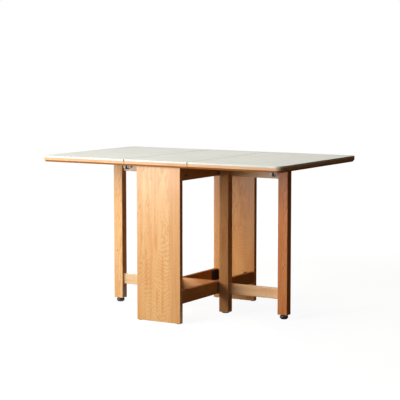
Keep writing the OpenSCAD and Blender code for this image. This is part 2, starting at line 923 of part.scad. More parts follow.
centre_slab();
centre_board();
leaf_slab(left);  // left_leaf_slab
leaf_board(left);  // left_leaf_board
leaf_slab(right);  // right_leaf_slab
leaf_board(right);  // right_leaf_board
plank(front);  // front_plank
plank(back);  // back_plank
long_rail(left, apron_z, apron_h);  // left_apron
long_rail(right, apron_z, apron_h);  // right_apron
long_rail(left, low_rail_z, low_rail_h);  // left_lower_rail
long_rail(right, low_rail_z, low_rail_h);  // right_lower_rail
cross_rail(low_rail_z, low_rail_h);  // lower_cross_rail
cross_rail(apron_z, apron_h);  // upper_cross_rail
frame_dowels();
corner_brackets();
corner_screws();
top_brackets();
top_bracket_screws();
leaf_hinge_centre_plates();
leaf_hinge_pins();
leaf_hinge_plates(left);  // left_leaf_hinge_plates
leaf_hinge_screws(left);  // left_leaf_hinge_screws
leaf_hinge_plates(right);  // right_leaf_hinge_plates
leaf_hinge_screws(right);  // right_leaf_hinge_screws
gate_hinge_rail_plates();
gate_hinge_pins();
frame_hinge_screws();
strike_pins();
plank_glides();
inner_post(left);  // left_inner_post
outer_post(left);  // left_outer_post
gate_rail(left, gate_high_z);  // left_gate_upper_rail
gate_rail(left, gate_low_z);  // left_gate_lower_rail
gate_dowels(left);  // left_gate_dowels
gate_hinge_plates(left);  // left_gate_hinge_plates
gate_hinge_screws(left);  // left_gate_hinge_screws
catch_body(left);  // left_catch_body
catch_magnet(left);  // left_catch_magnet
catch_screws(left);  // left_catch_screws
glide(left);  // left_glide
bumper(left);  // left_bumper
foot_insert(left);  // left_foot_insert
foot(left);  // left_foot
foot_stud(left);  // left_foot_stud
inner_post(right);  // right_inner_post
outer_post(right);  // right_outer_post
gate_rail(right, gate_high_z);  // right_gate_upper_rail
gate_rail(right, gate_low_z);  // right_gate_lower_rail
gate_dowels(right);  // right_gate_dowels
gate_hinge_plates(right);  // right_gate_hinge_plates
gate_hinge_screws(right);  // right_gate_hinge_screws
catch_body(right);  // right_catch_body
catch_magnet(right);  // right_catch_magnet
catch_screws(right);  // right_catch_screws
glide(right);  // right_glide
bumper(right);  // right_bumper
foot_insert(right);  // right_foot_insert
foot(right);  // right_foot
foot_stud(right);  // right_foot_stud
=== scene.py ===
"""Looks of a gate-leg dining table: surfaces, finishes, light and camera."""
import json
import logging
import math
from dataclasses import asdict, dataclass
from enum import Enum
from typing import Iterable, Sequence, Union

import bmesh
import bpy
import numpy as np
from mathutils import Matrix, Vector


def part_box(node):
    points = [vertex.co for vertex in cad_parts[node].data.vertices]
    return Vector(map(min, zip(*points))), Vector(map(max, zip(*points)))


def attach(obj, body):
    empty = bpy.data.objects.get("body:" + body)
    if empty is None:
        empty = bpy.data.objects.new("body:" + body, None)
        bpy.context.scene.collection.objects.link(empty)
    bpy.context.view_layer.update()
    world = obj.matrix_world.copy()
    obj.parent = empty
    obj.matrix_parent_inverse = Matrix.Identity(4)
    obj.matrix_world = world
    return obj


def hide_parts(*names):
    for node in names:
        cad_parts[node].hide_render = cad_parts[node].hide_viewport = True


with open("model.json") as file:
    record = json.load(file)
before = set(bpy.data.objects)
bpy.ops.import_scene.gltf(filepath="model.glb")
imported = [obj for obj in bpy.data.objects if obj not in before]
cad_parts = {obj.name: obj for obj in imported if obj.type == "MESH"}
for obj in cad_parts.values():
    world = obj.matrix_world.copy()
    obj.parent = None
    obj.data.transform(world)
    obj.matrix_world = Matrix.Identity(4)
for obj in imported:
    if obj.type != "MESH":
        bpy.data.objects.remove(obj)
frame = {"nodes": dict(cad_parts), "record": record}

LOG = logging.getLogger("table")
MM = 0.001
SUPPORT = 0.4 * MM  # distance of the extra points that keep flat sides flat
MERGE = 0.002 * MM  # points closer than this are one point
LEAST_RADIUS = 0.02 * MM  # no rounding gets smaller
END_DEPTH = 0.1 * MM  # part of a screw's end at which its width is measured
SHARP_DEG = 40  # edges that turn by more stay sharp
FLAT_DEG = 0.5  # faces that turn by less become one face
EDGE_DEG = 32  # edges that turn by more are broken
Material = bpy.types.Material
Wire = bpy.types.NodeSocket
Wires = bpy.types.bpy_prop_collection
Tree = bpy.types.NodeTree
Colour = tuple[float, float, float]
Feed = Union[Wire, float, Sequence[float]]


class Axis(Enum):
    """World axis that a bar, its grain or a turned piece runs along."""

    X = 0
    Y = 1
    Z = 2

    @property
    def order(self) -> list[int]:
        """World axes that the local width, depth and length stand for."""
        return [(self.value + 1) % 3, (self.value + 2) % 3, self.value]

    def to_world(self, points: np.ndarray) -> np.ndarray:
        """Carries local points into the world.

        Args:
            points: Rows of (width, depth, length).

        Returns:
            The same points as (x, y, z).
        """
        world = np.empty_like(points)
        world[..., self.order] = points
        return world

    def to_local(self, points: np.ndarray) -> np.ndarray:
        """World points as local (width, depth, length) points."""
        return points[..., self.order]


class Slot(Enum):
    """Material slots of the part's record."""

    STONE = "stone"
    OAK = "oak"
    BLACK_STEEL = "black_steel"
    BROWN_STEEL = "brown_steel"
    ZINC_STEEL = "zinc_steel"
    WHITE_PLASTIC = "white_plastic"
    FERRITE = "ferrite"
    CLEAR_RUBBER = "clear_rubber"
    BLACK_PLASTIC = "black_plastic"


@dataclass
class Box:
    """Lowest and highest corner of a piece, in metres."""

    low: np.ndarray
    high: np.ndarray

    @classmethod
    def of(cls, node: str) -> "Box":
        """Box of a CAD node."""
        low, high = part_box(node)
        return cls(np.array(low), np.array(high))

    @property
    def size(self) -> np.ndarray:
        """Lengths along X, Y and Z."""
        return self.high - self.low

    @property
    def middle(self) -> np.ndarray:
        """Point in the middle."""
        return (self.high + self.low) / 2

    @property
    def long_axis(self) -> Axis:
        """Axis of the greatest length."""
        return Axis(int(np.argmax(self.size)))


@dataclass
class Surface:
    """Closed surface: its points and its faces, in metres."""

    points: np.ndarray
    faces: list[np.ndarray]

    @classmethod
    def loft(cls, rings: np.ndarray) -> "Surface":
        """Skins a stack of rings and closes both ends.

        Point i of ring k is joined to point i + 1 and to the same points of ring k + 1. The rings
        run counter-clockwise when seen from the end that they are stacked towards.

        Args:
            rings: Array of shape (rings, points, 3).

        Returns:
            The closed surface.
        """
        count, around = rings.shape[:2]
        index = np.arange(count * around).reshape(count, around)
        onward = np.roll(index, -1, axis=1)
        quads = np.stack([index[:-1], onward[:-1], onward[1:], index[1:]], axis=-1)
        faces = [quads.reshape(-1, 4), index[:1, ::-1], index[-1:]]
        return cls(rings.reshape(-1, 3).astype(float), faces)

    @classmethod
    def joined(cls, parts: Iterable["Surface"]) -> "Surface":
        """Joins surfaces, with the faces of each counted on.

        Args:
            parts: The surfaces.

        Returns:
            One surface with all their points and faces.
        """
        points, faces, first = [], [], 0
        for part in parts:
            points.append(part.points)
            faces.extend(face + first for face in part.faces)
            first += len(part.points)
        return cls(np.concatenate(points), faces)

    def turned(self, axis: Axis) -> "Surface":
        """The surface with its local length laid along a world axis."""
        return Surface(axis.to_world(self.points), self.faces)

    def moved(self, by: Sequence[float]) -> "Surface":
        """The surface shifted by a vector."""
        return Surface(self.points + np.array(by), self.faces)

    def upended(self) -> "Surface":
        """The surface turned half round its local width."""
        return Surface(self.points * [1, -1, -1], self.faces)

    def flipped(self, axis: Axis) -> "Surface":
        """Mirrors the surface across the plane through zero and turns its faces outwards again.

        Args:
            axis: Axis at right angles to the plane.

        Returns:
            The mirror image.
        """
        points = self.points.copy()
        points[:, axis.value] *= -1
        return Surface(points, [face[:, ::-1] for face in self.faces])

    def to_object(self, name: str, sharp_deg: float) -> bpy.types.Object:
        """Makes a Blender object at the origin.

        Args:
            name: Name of the object.
            sharp_deg: Edges that turn by more than this stay sharp.

        Returns:
            The object, linked to the scene.
        """
        mesh = bpy.data.meshes.new(name)
        polygons = [polygon for face in self.faces for polygon in face.tolist()]
        mesh.from_pydata(self.points.tolist(), [], polygons)
        return shown(mesh, sharp_deg)


def shown(mesh: bpy.types.Mesh, sharp_deg: float) -> bpy.types.Object:
    """Smooths a mesh apart from its sharp edges, and puts it into the scene.

    Args:
        mesh: The mesh.
        sharp_deg: Edges that turn by more than this stay sharp.

    Returns:
        The object that holds it.
    """
    mesh.shade_smooth()
    mesh.set_sharp_from_angle(angle=math.radians(sharp_deg))
    thing = bpy.data.objects.new(mesh.name, mesh)
    bpy.context.scene.collection.objects.link(thing)
    return thing


@dataclass
class Outline:
    """Closed right-angled outline with rounded corners, drawn counter-clockwise.

    Attributes:
        corners: Corner points, shape (corners, 2).
        radii: Rounding of each corner.
        steps: Segments of each rounded corner.
    """

    corners: np.ndarray
    radii: np.ndarray
    steps: int = 6

    @classmethod
    def rectangle(cls, low: Sequence[float], high: Sequence[float], radius: float) -> "Outline":
        """Rectangle between two corners, with one rounding."""
        corners = [(low[0], low[1]), (high[0], low[1]), (high[0], high[1]), (low[0], high[1])]
        return cls(np.array(corners, float), np.full(4, radius))

    def at(self, inset: float) -> np.ndarray:
        """Points of the outline, shrunk by an inset.

        Each side moves inwards by the inset. Each corner is then cut back along both sides by its
        radius over the tangent of half its angle, and a circular arc joins the cuts. One extra
        point just outside each end of an arc keeps the shading of the flat sides flat.

        Args:
            inset: Distance inwards, in metres.

        Returns:
            Array of shape (points, 2).
        """
        along = np.roll(self.corners, -1, axis=0) - self.corners
        along = along / np.linalg.norm(along, axis=1, keepdims=True)
        inward = np.stack([-along[:, 1], along[:, 0]], axis=1)
        moved = self.corners + (inward + np.roll(inward, 1, axis=0)) * inset
        before = -np.roll(along, 1, axis=0)
        outer = np.sign(before[:, 1] * along[:, 0] - before[:, 0] * along[:, 1])
        radii = np.maximum(self.radii - outer * inset, LEAST_RADIUS)
        half = np.arccos(np.clip((before * along).sum(1), -1, 1)) / 2
        bisector = before + along
        bisector /= np.linalg.norm(bisector, axis=1, keepdims=True)
        centre = moved + bisector * (radii / np.sin(half))[:, None]
        reach = (radii / np.tan(half))[:, None]
        start, end = moved + before * reach, moved + along * reach
        turn = (math.pi - 2 * half)[:, None]
        share = np.linspace(0, 1, self.steps + 1)[None]
        first = (np.sin((1 - share) * turn) / np.sin(turn))[..., None]
        last = (np.sin(share * turn) / np.sin(turn))[..., None]
        arc = centre[:, None] + (start - centre)[:, None] * first + (end - centre)[:, None] * last
        lead, tail = start + before * SUPPORT, end + along * SUPPORT
        return np.concatenate([lead[:, None], arc, tail[:, None]], axis=1).reshape(-1, 2)


def edge_profile(length: float, low: float, high: float, steps: int = 4) -> np.ndarray:
    """Profile of a prism with both ends rounded by quarter circles.

    Over an angle a from 0 to 90 degrees the lower end's inset is low * (1 - sin a) at the height
    low * (1 - cos a), and the upper end is the same, mirrored.

    Args:
        length: Height of the prism.
        low: Radius at the lower end.
        high: Radius at the upper end.
        steps: Segments of each quarter circle.

    Returns:
        Rows of (inset, height), shape (rows, 2).
    """
    angle = np.linspace(0, math.pi / 2, steps + 1)
    lower = np.stack([low * (1 - np.sin(angle)), low * (1 - np.cos(angle))], axis=1)
    upper = np.stack([high * (1 - np.cos(angle)), length - high * (1 - np.sin(angle))], axis=1)
    return np.concatenate([
        [[low + SUPPORT, 0]], lower, [[0, low + SUPPORT]],
        [[0, length - high - SUPPORT]], upper, [[high + SUPPORT, length]],
    ])


def prism(outline: Outline, profile: np.ndarray, base: float = 0.0) -> Surface:
    """Stands an outline up along its local length.

    Each row of the profile is one ring: the outline shrunk by the row's inset, at its height.

    Args:
        outline: Outline in local width and depth.
        profile: Rows of (inset, height).
        base: Height of the lower end.

    Returns:
        The closed surface in local axes.
    """
    rings = [np.insert(outline.at(inset), 2, base + height, axis=1) for inset, height in profile]
    return Surface.loft(np.array(rings))


def bar(box: Box, axis: Axis, edge: float, end: float) -> Surface:
    """Square-section bar that fills a box, with rounded long edges and softened ends.

    Args:
        box: Box that the bar fills.
        axis: Axis of its length.
        edge: Radius of the long edges.
        end: Radius of the edges round both ends.

    Returns:
        The closed surface in world axes.
    """
    low, high = axis.to_local(box.low), axis.to_local(box.high)
    outline = Outline.rectangle(low[:2], high[:2], edge)
    return prism(outline, edge_profile(high[2] - low[2], end, end), low[2]).turned(axis)


def turned(profile: np.ndarray, around: int) -> Surface:
    """Surface of revolution: each (radius, height) row of the profile swept round the length.

    Args:
        profile: Rows of (radius, height), from the lower end to the upper one.
        around: Points round each ring.

    Returns:
        The closed surface in local axes.
    """
    angle = np.linspace(0, 2 * math.pi, around, endpoint=False)
    radius, height = profile[:, :1], profile[:, 1:]
    rings = [radius * np.cos(angle), radius * np.sin(angle), height + 0 * angle]
    return Surface.loft(np.stack(rings, axis=-1))


def softened_profile(corners: Sequence[tuple[float, float]], radius: float) -> np.ndarray:
    """Profile of a turned piece with its corners rounded.

    Each inner corner gives way to five points of a quadratic curve that leaves and meets the
    neighbouring lines at the given distance from the corner.

    Args:
        corners: Rows of (radius, height); the first and the last stay as they are.
        radius: Distance from the corner at which the curve starts.

    Returns:
        Rows of (radius, height).
    """
    points = np.array(corners, float)
    rows = [points[:1]]
    share = np.linspace(0, 1, 5)[:, None]
    for before, corner, after in zip(points[:-2], points[1:-1], points[2:]):
        start, end = (corner + way * min(radius / np.linalg.norm(way), 0.45)
                      for way in (before - corner, after - corner))
        rows.append((1 - share) ** 2 * start + 2 * share * (1 - share) * corner + share ** 2 * end)
    rows.append(points[-1:])
    return np.concatenate(rows)


def solids(node: str) -> list[tuple[np.ndarray, Box]]:
    """Points and boxes of the separate solids in a CAD node.

    Points that lie in one place count as one, and every point takes the lowest number among the
    points of its triangles until nothing changes.

    Args:
        node: Name of the node.

    Returns:
        The points and the box of each solid.
    """
    mesh = frame["nodes"][node].data
    points = np.empty(len(mesh.vertices) * 3)
    mesh.vertices.foreach_get("co", points)
    points = points.reshape(-1, 3)
    corners = np.empty(len(mesh.loops), dtype=int)
    mesh.loops.foreach_get("vertex_index", corners)
    _, same = np.unique(np.round(points / MERGE), axis=0, return_inverse=True)
    triangles = same.reshape(-1)[corners].reshape(-1, 3)
    label = np.arange(same.max() + 1)
    while True:
        lowest = label[triangles].min(axis=1)
        new = label.copy()
        np.minimum.at(new, triangles, lowest[:, None])
        if np.array_equal(new, label):
            break
        label = new[new]
    mine = label[same.reshape(-1)]
    groups = [points[mine == number] for number in np.unique(mine)]
    return [(group, Box(group.min(0), group.max(0))) for group in groups]


def screws_of(node: str) -> list[tuple[Box, bool]]:
    """Finds the screws of a node and which way they point.

    Args:
        node: Name of the node.

    Returns:
        The box of each screw, and whether its wider end, the head, is the higher one.
    """
    found = []
    for points, box in solids(node):
        local = box.long_axis.to_local(points)
        near_high = local[local[:, 2] > local[:, 2].max() - END_DEPTH]
        near_low = local[local[:, 2] < local[:, 2].min() + END_DEPTH]
        found.append((box, np.ptp(near_high[:, 0]) > np.ptp(near_low[:, 0])))
    return found


class Graph:
    """Short hand for adding nodes and links to a node tree."""

    def __init__(self, tree: Tree) -> None:
        """Keeps the tree."""
        self.tree = tree

    def feed(self, socket: Wire, value: Feed) -> None:
        """Links a socket, or sets its value where that is a plain number or colour.

        Args:
            socket: The input.
            value: A socket that leads to it, a number, a vector or a colour.
        """
        if isinstance(value, Wire):
            self.tree.links.new(value, socket)
        elif socket.type == "RGBA":
            socket.default_value = (*value[:3], 1)
        else:
            socket.default_value = value

    def add(self, kind: str, *values: Feed, **settings: object) -> bpy.types.Node:
        """Adds a node.

        Args:
            kind: Its type, without the leading word.
            values: What its first inputs take, in order.
            settings: Its properties by name.

        Returns:
            The node.
        """
        node = self.tree.nodes.new("ShaderNode" + kind)
        for name, value in settings.items():
            setattr(node, name, value)
        for socket, value in zip(node.inputs, values):
            self.feed(socket, value)
        return node

    def place(self, tree: Tree, **inputs: Feed) -> Wires:
        """Places a group with its own values.

        Args:
            tree: The group.
            inputs: Values by socket name, with underscores for spaces.

        Returns:
            Its outputs, by name or number.
        """
        node = self.add("Group", node_tree=tree)
        for name, value in inputs.items():
            self.feed(node.inputs[name.replace("_", " ")], value)
        return node.outputs

    def math(self, operation: str, *values: Feed, clamp: bool = False) -> Wire:
        """Result of a Math node."""
        return self.add("Math", *values, operation=operation, use_clamp=clamp).outputs[0]

    def times(self, first: Feed, second: Feed, plus: Feed = 0.0, clamp: bool = False) -> Wire:
        """Product of two values, plus a third."""
        return self.math("MULTIPLY_ADD", first, second, plus, clamp=clamp)

    def minus(self, first: Feed, second: Feed) -> Wire:
        """Difference of two values."""
        return self.math("SUBTRACT", first, second)

    def size(self, value: Feed) -> Wire:
        """A value without its sign."""
        return self.math("ABSOLUTE", value)

    def vector(self, operation: str, *values: Feed) -> Wire:
        """Result of a Vector Math node."""
        return self.add("VectorMath", *values, operation=operation).outputs["Vector"]

    def scaled(self, vector: Feed, factor: Feed) -> Wire:
        """Stretches a vector evenly.

        Args:
            vector: The vector.
            factor: What it is multiplied by.

        Returns:
            The product.
        """
        node = self.add("VectorMath", vector, operation="SCALE")
        self.feed(node.inputs["Scale"], factor)
        return node.outputs["Vector"]

    def split(self, vector: Feed) -> list[Wire]:
        """The three parts of a vector."""
        return list(self.add("SeparateXYZ", vector).outputs)

    def ramp(self, value: Feed, *stops: tuple[float, float]) -> Wire:
        """Reads a value off a grey ramp.

        Args:
            value: Where to read, from 0 to 1.
            stops: The ramp's (position, level) pairs.

        Returns:
            The level there.
        """
        node = self.add("ValToRGB", value)
        elements = node.color_ramp.elements
        while len(elements) < len(stops):
            elements.new(0.5)
        for element, (position, level) in zip(elements, stops):
            element.position = position
            element.color = (level, level, level, 1)
        return node.outputs["Color"]

    def span(self, value: Feed, low: float, high: float, to_low: float = 0,
             to_high: float = 1) -> Wire:
        """Value mapped from one span to another, with a soft start and end."""
        return self.add("MapRange", value, low, high, to_low, to_high,
                        interpolation_type="SMOOTHSTEP").outputs[0]

    def noise(self, vector: Feed, scale: Feed, detail: float = 2, seed: Feed = 0.0,
              output: str = "Fac") -> Wire:
        """Adds noise.

        Args:
            vector: Where it is read.
            scale: How much the vector is first stretched along each axis.
            detail: Number of finer layers.
            seed: Which noise it is.
            output: The output that is used, Fac or Color.

        Returns:
            That output.
        """
        node = self.add("TexNoise", noise_dimensions="4D")
        values = {"Vector": self.vector("MULTIPLY", vector, scale), "W": seed, "Scale": 1,
                  "Detail": detail}
        for name, value in values.items():
            self.feed(node.inputs[name], value)
        return node.outputs[output]

    def mix(self, factor: Feed, first: Feed, second: Feed, blend: str = "MIX") -> Wire:
        """Mixes two colours.

        Args:
            factor: Share of the second.
            first: First colour.
            second: Second colour.
            blend: Way of blending.

        Returns:
            The mixed colour.
        """
        node = self.add("Mix", factor, data_type="RGBA", blend_type=blend, clamp_factor=True)
        self.feed(node.inputs[6], first)
        self.feed(node.inputs[7], second)
        return node.outputs[2]


class Effects:
    """Node groups that several finishes share, each built once."""

    colours = ("Color", "Pale", "Warm", "Dark", "Flush")
    vectors = ("Vector", "Normal")
    wander = 5 * MM
    waver = 3.2
    knee_soft = 50 * MM
    seam_facing = (0.25, 0.6)
    seam_reach = (0.2, 0.3)

    def __init__(self) -> None:
        """Builds every group."""
        self.rings = self._year_rings()
        self.oak = self._oak_surface()
        self.step = self._stave_step()
        self.staves = self._glued_staves()
        self.seam = self._seam_faces()
        self.grain = self._fine_grain()
        self.handling = self._handling()

    def _open(self, name: str, inputs: Sequence[str],
              outputs: Sequence[str]) -> tuple[Graph, Wires, Wires]:
        """Starts a group with its sockets.

        Args:
            name: Name of the group.
            inputs: Names of its inputs.
            outputs: Names of its outputs.

        Returns:
            The graph, and the sockets inside it that give the inputs and take the outputs.
        """
        tree = bpy.data.node_groups.new(name, "ShaderNodeTree")
        for way, names in (("INPUT", inputs), ("OUTPUT", outputs)):
            for socket in names:
                kind = ("Color" if socket in self.colours else
                        "Vector" if socket in self.vectors else "Float")
                tree.interface.new_socket(name=socket, in_out=way,
                                          socket_type="NodeSocket" + kind)
        source = tree.nodes.new("NodeGroupInput")
        sink = tree.nodes.new("NodeGroupOutput")
        return Graph(tree), source.outputs, sink.inputs

    def _year_rings(self) -> Tree:
        """Group that counts year rings outwards from the heart of the log.

        The heart runs along the grain, z, at depth + lean * z behind the middle of the board.
        Below a knee it bends away: with u = z - knee below the knee and 0 above it, the depth
        grows by rise * u * u / (soft - u), which soon becomes a straight slope. Noise makes the
        heart wander. The count is the distance from it over the width of a ring, with a waver.

        Returns:
            The group.
        """
        graph, given, sink = self._open("year_rings", [
            "Vector", "Side", "Depth", "Lean", "Knee", "Rise", "Ring", "Seed"], ["Growth"])
        x, y, z = graph.split(given["Vector"])
        drift = graph.noise(given["Vector"], (9, 9, 2.2), 2, given["Seed"], "Color")
        drift = graph.vector("SUBTRACT", drift, (0.5, 0.5, 0.5))
        drift_x, drift_y, _ = graph.split(graph.scaled(drift, 2 * self.wander))
        side = graph.math("ADD", drift_x, graph.minus(x, given["Side"]))
        below = graph.math("MINIMUM", graph.minus(z, given["Knee"]), 0)
        slope = graph.math("DIVIDE", below, graph.minus(self.knee_soft, below))
        bow = graph.times(given["Rise"], graph.times(below, slope), drift_y)
        depth = graph.times(given["Lean"], z, given["Depth"])
        depth = graph.minus(graph.math("ADD", depth, bow), y)
        squares = graph.times(side, side, graph.times(depth, depth))
        count = graph.math("DIVIDE", graph.math("SQRT", squares), given["Ring"])
        waver = graph.noise(given["Vector"], (45, 45, 16), 4, given["Seed"])
        graph.feed(sink["Growth"], graph.times(waver, self.waver, count))
        return graph.tree

    def _oak_surface(self) -> Tree:
        """Group that colours wood from its year rings, fibres and pores.

        Each ring starts with a dark porous band and fades to pale late wood. Fibres are noise drawn
        out along the grain, and pores are fine dashes that crowd in the porous band. Faces across
        the grain are darker.

        Returns:
            The group.
        """
        graph, given, sink = self._open("oak_surface", [
            "Vector", "Growth", "Across", "Pale", "Warm", "Dark", "Flush", "Tone", "Figure",
            "Pore Share", "Seed"], ["Color", "Roughness", "Height"])
        vector, seed = given["Vector"], given["Seed"]
        place = graph.math("FRACT", given["Growth"])
        band = graph.ramp(place, (0, 0.3), (0.07, 1), (0.24, 0.7), (0.5, 0.12), (0.86, 0), (1, 0.3))
        vary = graph.noise(vector, (16, 16, 4), 2, graph.math("ADD", seed, 31.0))
        fibre = graph.noise(vector, (380, 380, 8), 3, seed)
        streak = graph.noise(vector, (75, 75, 2.2), 3, seed)
        broad = graph.noise(vector, (14, 14, 3), 2, seed)
        lens = graph.noise(vector, (60, 60, 7), 2, graph.math("ADD", seed, 13.0))
        dashes = graph.noise(vector, (1500, 1500, 70), 1, seed)
        pores = graph.times(graph.span(dashes, 0.56, 0.66), graph.times(band, 0.8, 0.2))
        strength = graph.times(given["Figure"], graph.span(vary, 0.32, 0.6, 0.2, 1.1))
        shade = graph.times(band, strength, given["Tone"])
        shade = graph.times(graph.minus(fibre, 0.5), 0.7, shade)
        shade = graph.times(graph.minus(streak, 0.45), 1.1, shade)
        shade = graph.times(given["Across"], 0.6, shade, clamp=True)
        colour = graph.mix(shade, given["Pale"], given["Warm"])
        colour = graph.mix(graph.span(broad, 0.4, 0.7, 0, 0.45), colour, given["Flush"])
        colour = graph.mix(graph.span(lens, 0.52, 0.7, 0, 0.8), colour, given["Flush"])
        colour = graph.mix(graph.times(pores, given["Pore Share"]), colour, given["Dark"])
        graph.feed(sink["Color"], colour)
        graph.feed(sink["Roughness"], graph.times(fibre, 0.12, graph.times(pores, 0.2, 0.24)))
        height = graph.times(pores, -1, graph.times(fibre, 0.5))
        graph.feed(sink["Height"], graph.times(band, -0.3, height))
        return graph.tree

    def _stave_step(self) -> Tree:
        """Group that gives one of three values, by which side of two glue joints a point lies.

        Returns:
            The group.
        """
        graph, given, sink = self._open("stave_step", [
            "Side", "First Joint", "Second Joint", "First", "Second", "Third"], ["Value"])
        value = given["First"]
        for joint, before, after in (("First Joint", "First", "Second"),
                                     ("Second Joint", "Second", "Third")):
            past = graph.math("GREATER_THAN", given["Side"], given[joint])
            value = graph.times(past, graph.minus(given[after], given[before]), value)
        graph.feed(sink["Value"], value)
        return graph.tree

    def _glued_staves(self) -> Tree:
        """Group that cuts a board into glued staves, each with its own heart and seed.

        Returns:
            The group.
        """
        graph, given, sink = self._open("glued_staves", ["Vector", "Width", "Seed"],
                                        ["Side", "Depth", "Lean", "Tone", "Seed"])
        across = graph.split(given["Vector"])[0]
        number = graph.math("FLOOR", graph.math("DIVIDE", across, given["Width"]))
        seed = graph.times(number, 3.17, given["Seed"])
        chance = graph.add("TexWhiteNoise", noise_dimensions="1D")
        graph.feed(chance.inputs["W"], seed)
        red, green, blue = graph.split(chance.outputs["Color"])
        start = graph.times(number, given["Width"])
        graph.feed(sink["Side"], graph.times(red, given["Width"], start))
        graph.feed(sink["Depth"], graph.times(green, 0.08, 0.03))
        graph.feed(sink["Lean"], graph.times(blue, 0.24, -0.12))
        graph.feed(sink["Tone"], graph.times(green, 0.3, -0.15))
        graph.feed(sink["Seed"], seed)
        return graph.tree

    def _seam_faces(self) -> Tree:
        """Group that finds the faces inside the two seams of the top.

        Returns:
            The group.
        """
        graph, given, sink = self._open("seam_faces", ["Vector", "Normal"], ["Mask"])
        sideways = graph.span(graph.size(graph.split(given["Normal"])[0]), *self.seam_facing)
        near = graph.span(graph.size(graph.split(given["Vector"])[0]), *self.seam_reach, 1, 0)
        graph.feed(sink["Mask"], graph.times(sideways, near))
        return graph.tree

    def _fine_grain(self) -> Tree:
        """Group with two sizes of grain, as on cast, coated or moulded surfaces.

        Returns:
            The group.
        """
        graph, given, sink = self._open("fine_grain", ["Vector", "Scale"], ["Height", "Fleck"])
        stretched = graph.scaled(given["Vector"], given["Scale"])
        coarse = graph.noise(stretched, (1, 1, 1), 2)
        fine = graph.noise(stretched, (3.3, 3.3, 3.3), 2, 4.0)
        graph.feed(sink["Height"], graph.times(fine, 0.4, coarse))
        graph.feed(sink["Fleck"], graph.span(fine, 0.62, 0.74))
        return graph.tree

    def _handling(self) -> Tree:
        """Group with the broad, soft unevenness that wiping and touch leave.

        Returns:
            The group.
        """
        graph, given, sink = self._open("handling", ["Vector", "Low", "High"],
                                        ["Roughness", "Cloud"])
        cloud = graph.noise(given["Vector"], (6, 6, 6), 3, 2.0)
        smear = graph.noise(given["Vector"], (30, 9, 9), 2, 7.0)
        both = graph.times(smear, 0.4, graph.times(cloud, 0.6))
        rise = graph.minus(given["High"], given["Low"])
        graph.feed(sink["Roughness"], graph.times(both, rise, given["Low"]))
        graph.feed(sink["Cloud"], both)
        return graph.tree


class Finish:
    """A material built round one Principled shader."""

    def __init__(self, name: str) -> None:
        """Starts the material with its shader and its object coordinates.

        Args:
            name: Name of the material.
        """
        self.material = bpy.data.materials.new(name)
        self.material.use_nodes = True
        self.material.node_tree.nodes.clear()
        self.graph = Graph(self.material.node_tree)
        self.shader = self.graph.add("BsdfPrincipled")
        self.graph.add("OutputMaterial", self.shader.outputs[0])
        coordinates = self.graph.add("TexCoord")
        self.place = coordinates.outputs["Object"]
        self.normal = coordinates.outputs["Normal"]

    def set(self, **inputs: Feed) -> Material:
        """Sets or links sockets of the shader.

        Args:
            inputs: Values by socket name, with underscores for spaces.

        Returns:
            The material.
        """
        for name, value in inputs.items():
            self.graph.feed(self.shader.inputs[name.replace("_", " ")], value)
        return self.material

    def bump(self, height: Feed, distance: float, strength: float) -> None:
        """Feeds the normal from a height.

        Args:
            height: The height.
            distance: Metres that a height of 1 stands for.
            strength: Share of the bump that shows.
        """
        node = self.graph.add("Bump")
        for name, value in (("Height", height), ("Distance", distance), ("Strength", strength)):
            self.graph.feed(node.inputs[name], value)
        self.set(Normal=node.outputs[0])

    def handled(self, effects: Effects, low: float, high: float) -> Wire:
        """Sets a roughness that varies softly.

        Args:
            effects: The shared node groups.
            low: Least roughness.
            high: Greatest roughness.

        Returns:
            The clouds of that unevenness.
        """
        soft = self.graph.place(effects.handling, Vector=self.place, Low=low, High=high)
        self.set(Roughness=soft["Roughness"])
        return soft["Cloud"]

    def grained(self, effects: Effects, scale: float, distance: float, strength: float) -> Wire:
        """Sets a fine bump.

        Args:
            effects: The shared node groups.
            scale: Fineness of the grain.
            distance: Metres that a height of 1 stands for.
            strength: Share of the bump that shows.

        Returns:
            The flecks of the grain.
        """
        grain = self.graph.place(effects.grain, Vector=self.place, Scale=scale)
        self.bump(grain["Height"], distance, strength)
        return grain["Fleck"]

    def seam(self, effects: Effects) -> Wire:
        """Mask of the faces inside the seams of the top."""
        return self.graph.place(effects.seam, Vector=self.place, Normal=self.normal)["Mask"]


@dataclass(frozen=True)
class Figure:
    """How the year rings lie in one stave, in metres from the middle of its piece.

    Attributes:
        side: Place of the log's heart across the width.
        depth: Distance of the heart behind the middle of the piece.
        lean: Change of that distance per metre of length.
        knee: Height below which the heart bends away.
        rise: Change of the distance per metre below the knee.
        ring: Width of a year ring.
        tone: Shade added to the stave, below 0 where it is paler than its neighbours.
    """

    side: float = 0.01
    depth: float = 0.09
    lean: float = 0.03
    knee: float = 0.0
    rise: float = 0.0
    ring: float = 0.0034
    tone: float = 0.0


@dataclass(frozen=True)
class Timber:
    """Colours of one kind of wood."""

    pale: Colour
    warm: Colour
    dark: Colour
    flush: Colour
    figure: float
    pore_share: float

    def toned(self, tone: Colour) -> "Timber":
        """Makes the wood lighter, darker or redder.

        Args:
            tone: What each colour is multiplied by.

        Returns:
            The toned wood.
        """
        scaled = [tuple(c * t for c, t in zip(colour, tone)) for colour in
                  (self.pale, self.warm, self.dark, self.flush)]
        return Timber(*scaled, self.figure, self.pore_share)


OAK = Timber((0.79, 0.5, 0.255), (0.56, 0.28, 0.1), (0.28, 0.11, 0.03), (0.68, 0.33, 0.12),
             0.58, 0.55)
BEECH = Timber((0.72, 0.56, 0.36), (0.62, 0.45, 0.27), (0.42, 0.28, 0.15), (0.64, 0.46, 0.28),
               0.4, 0.15)


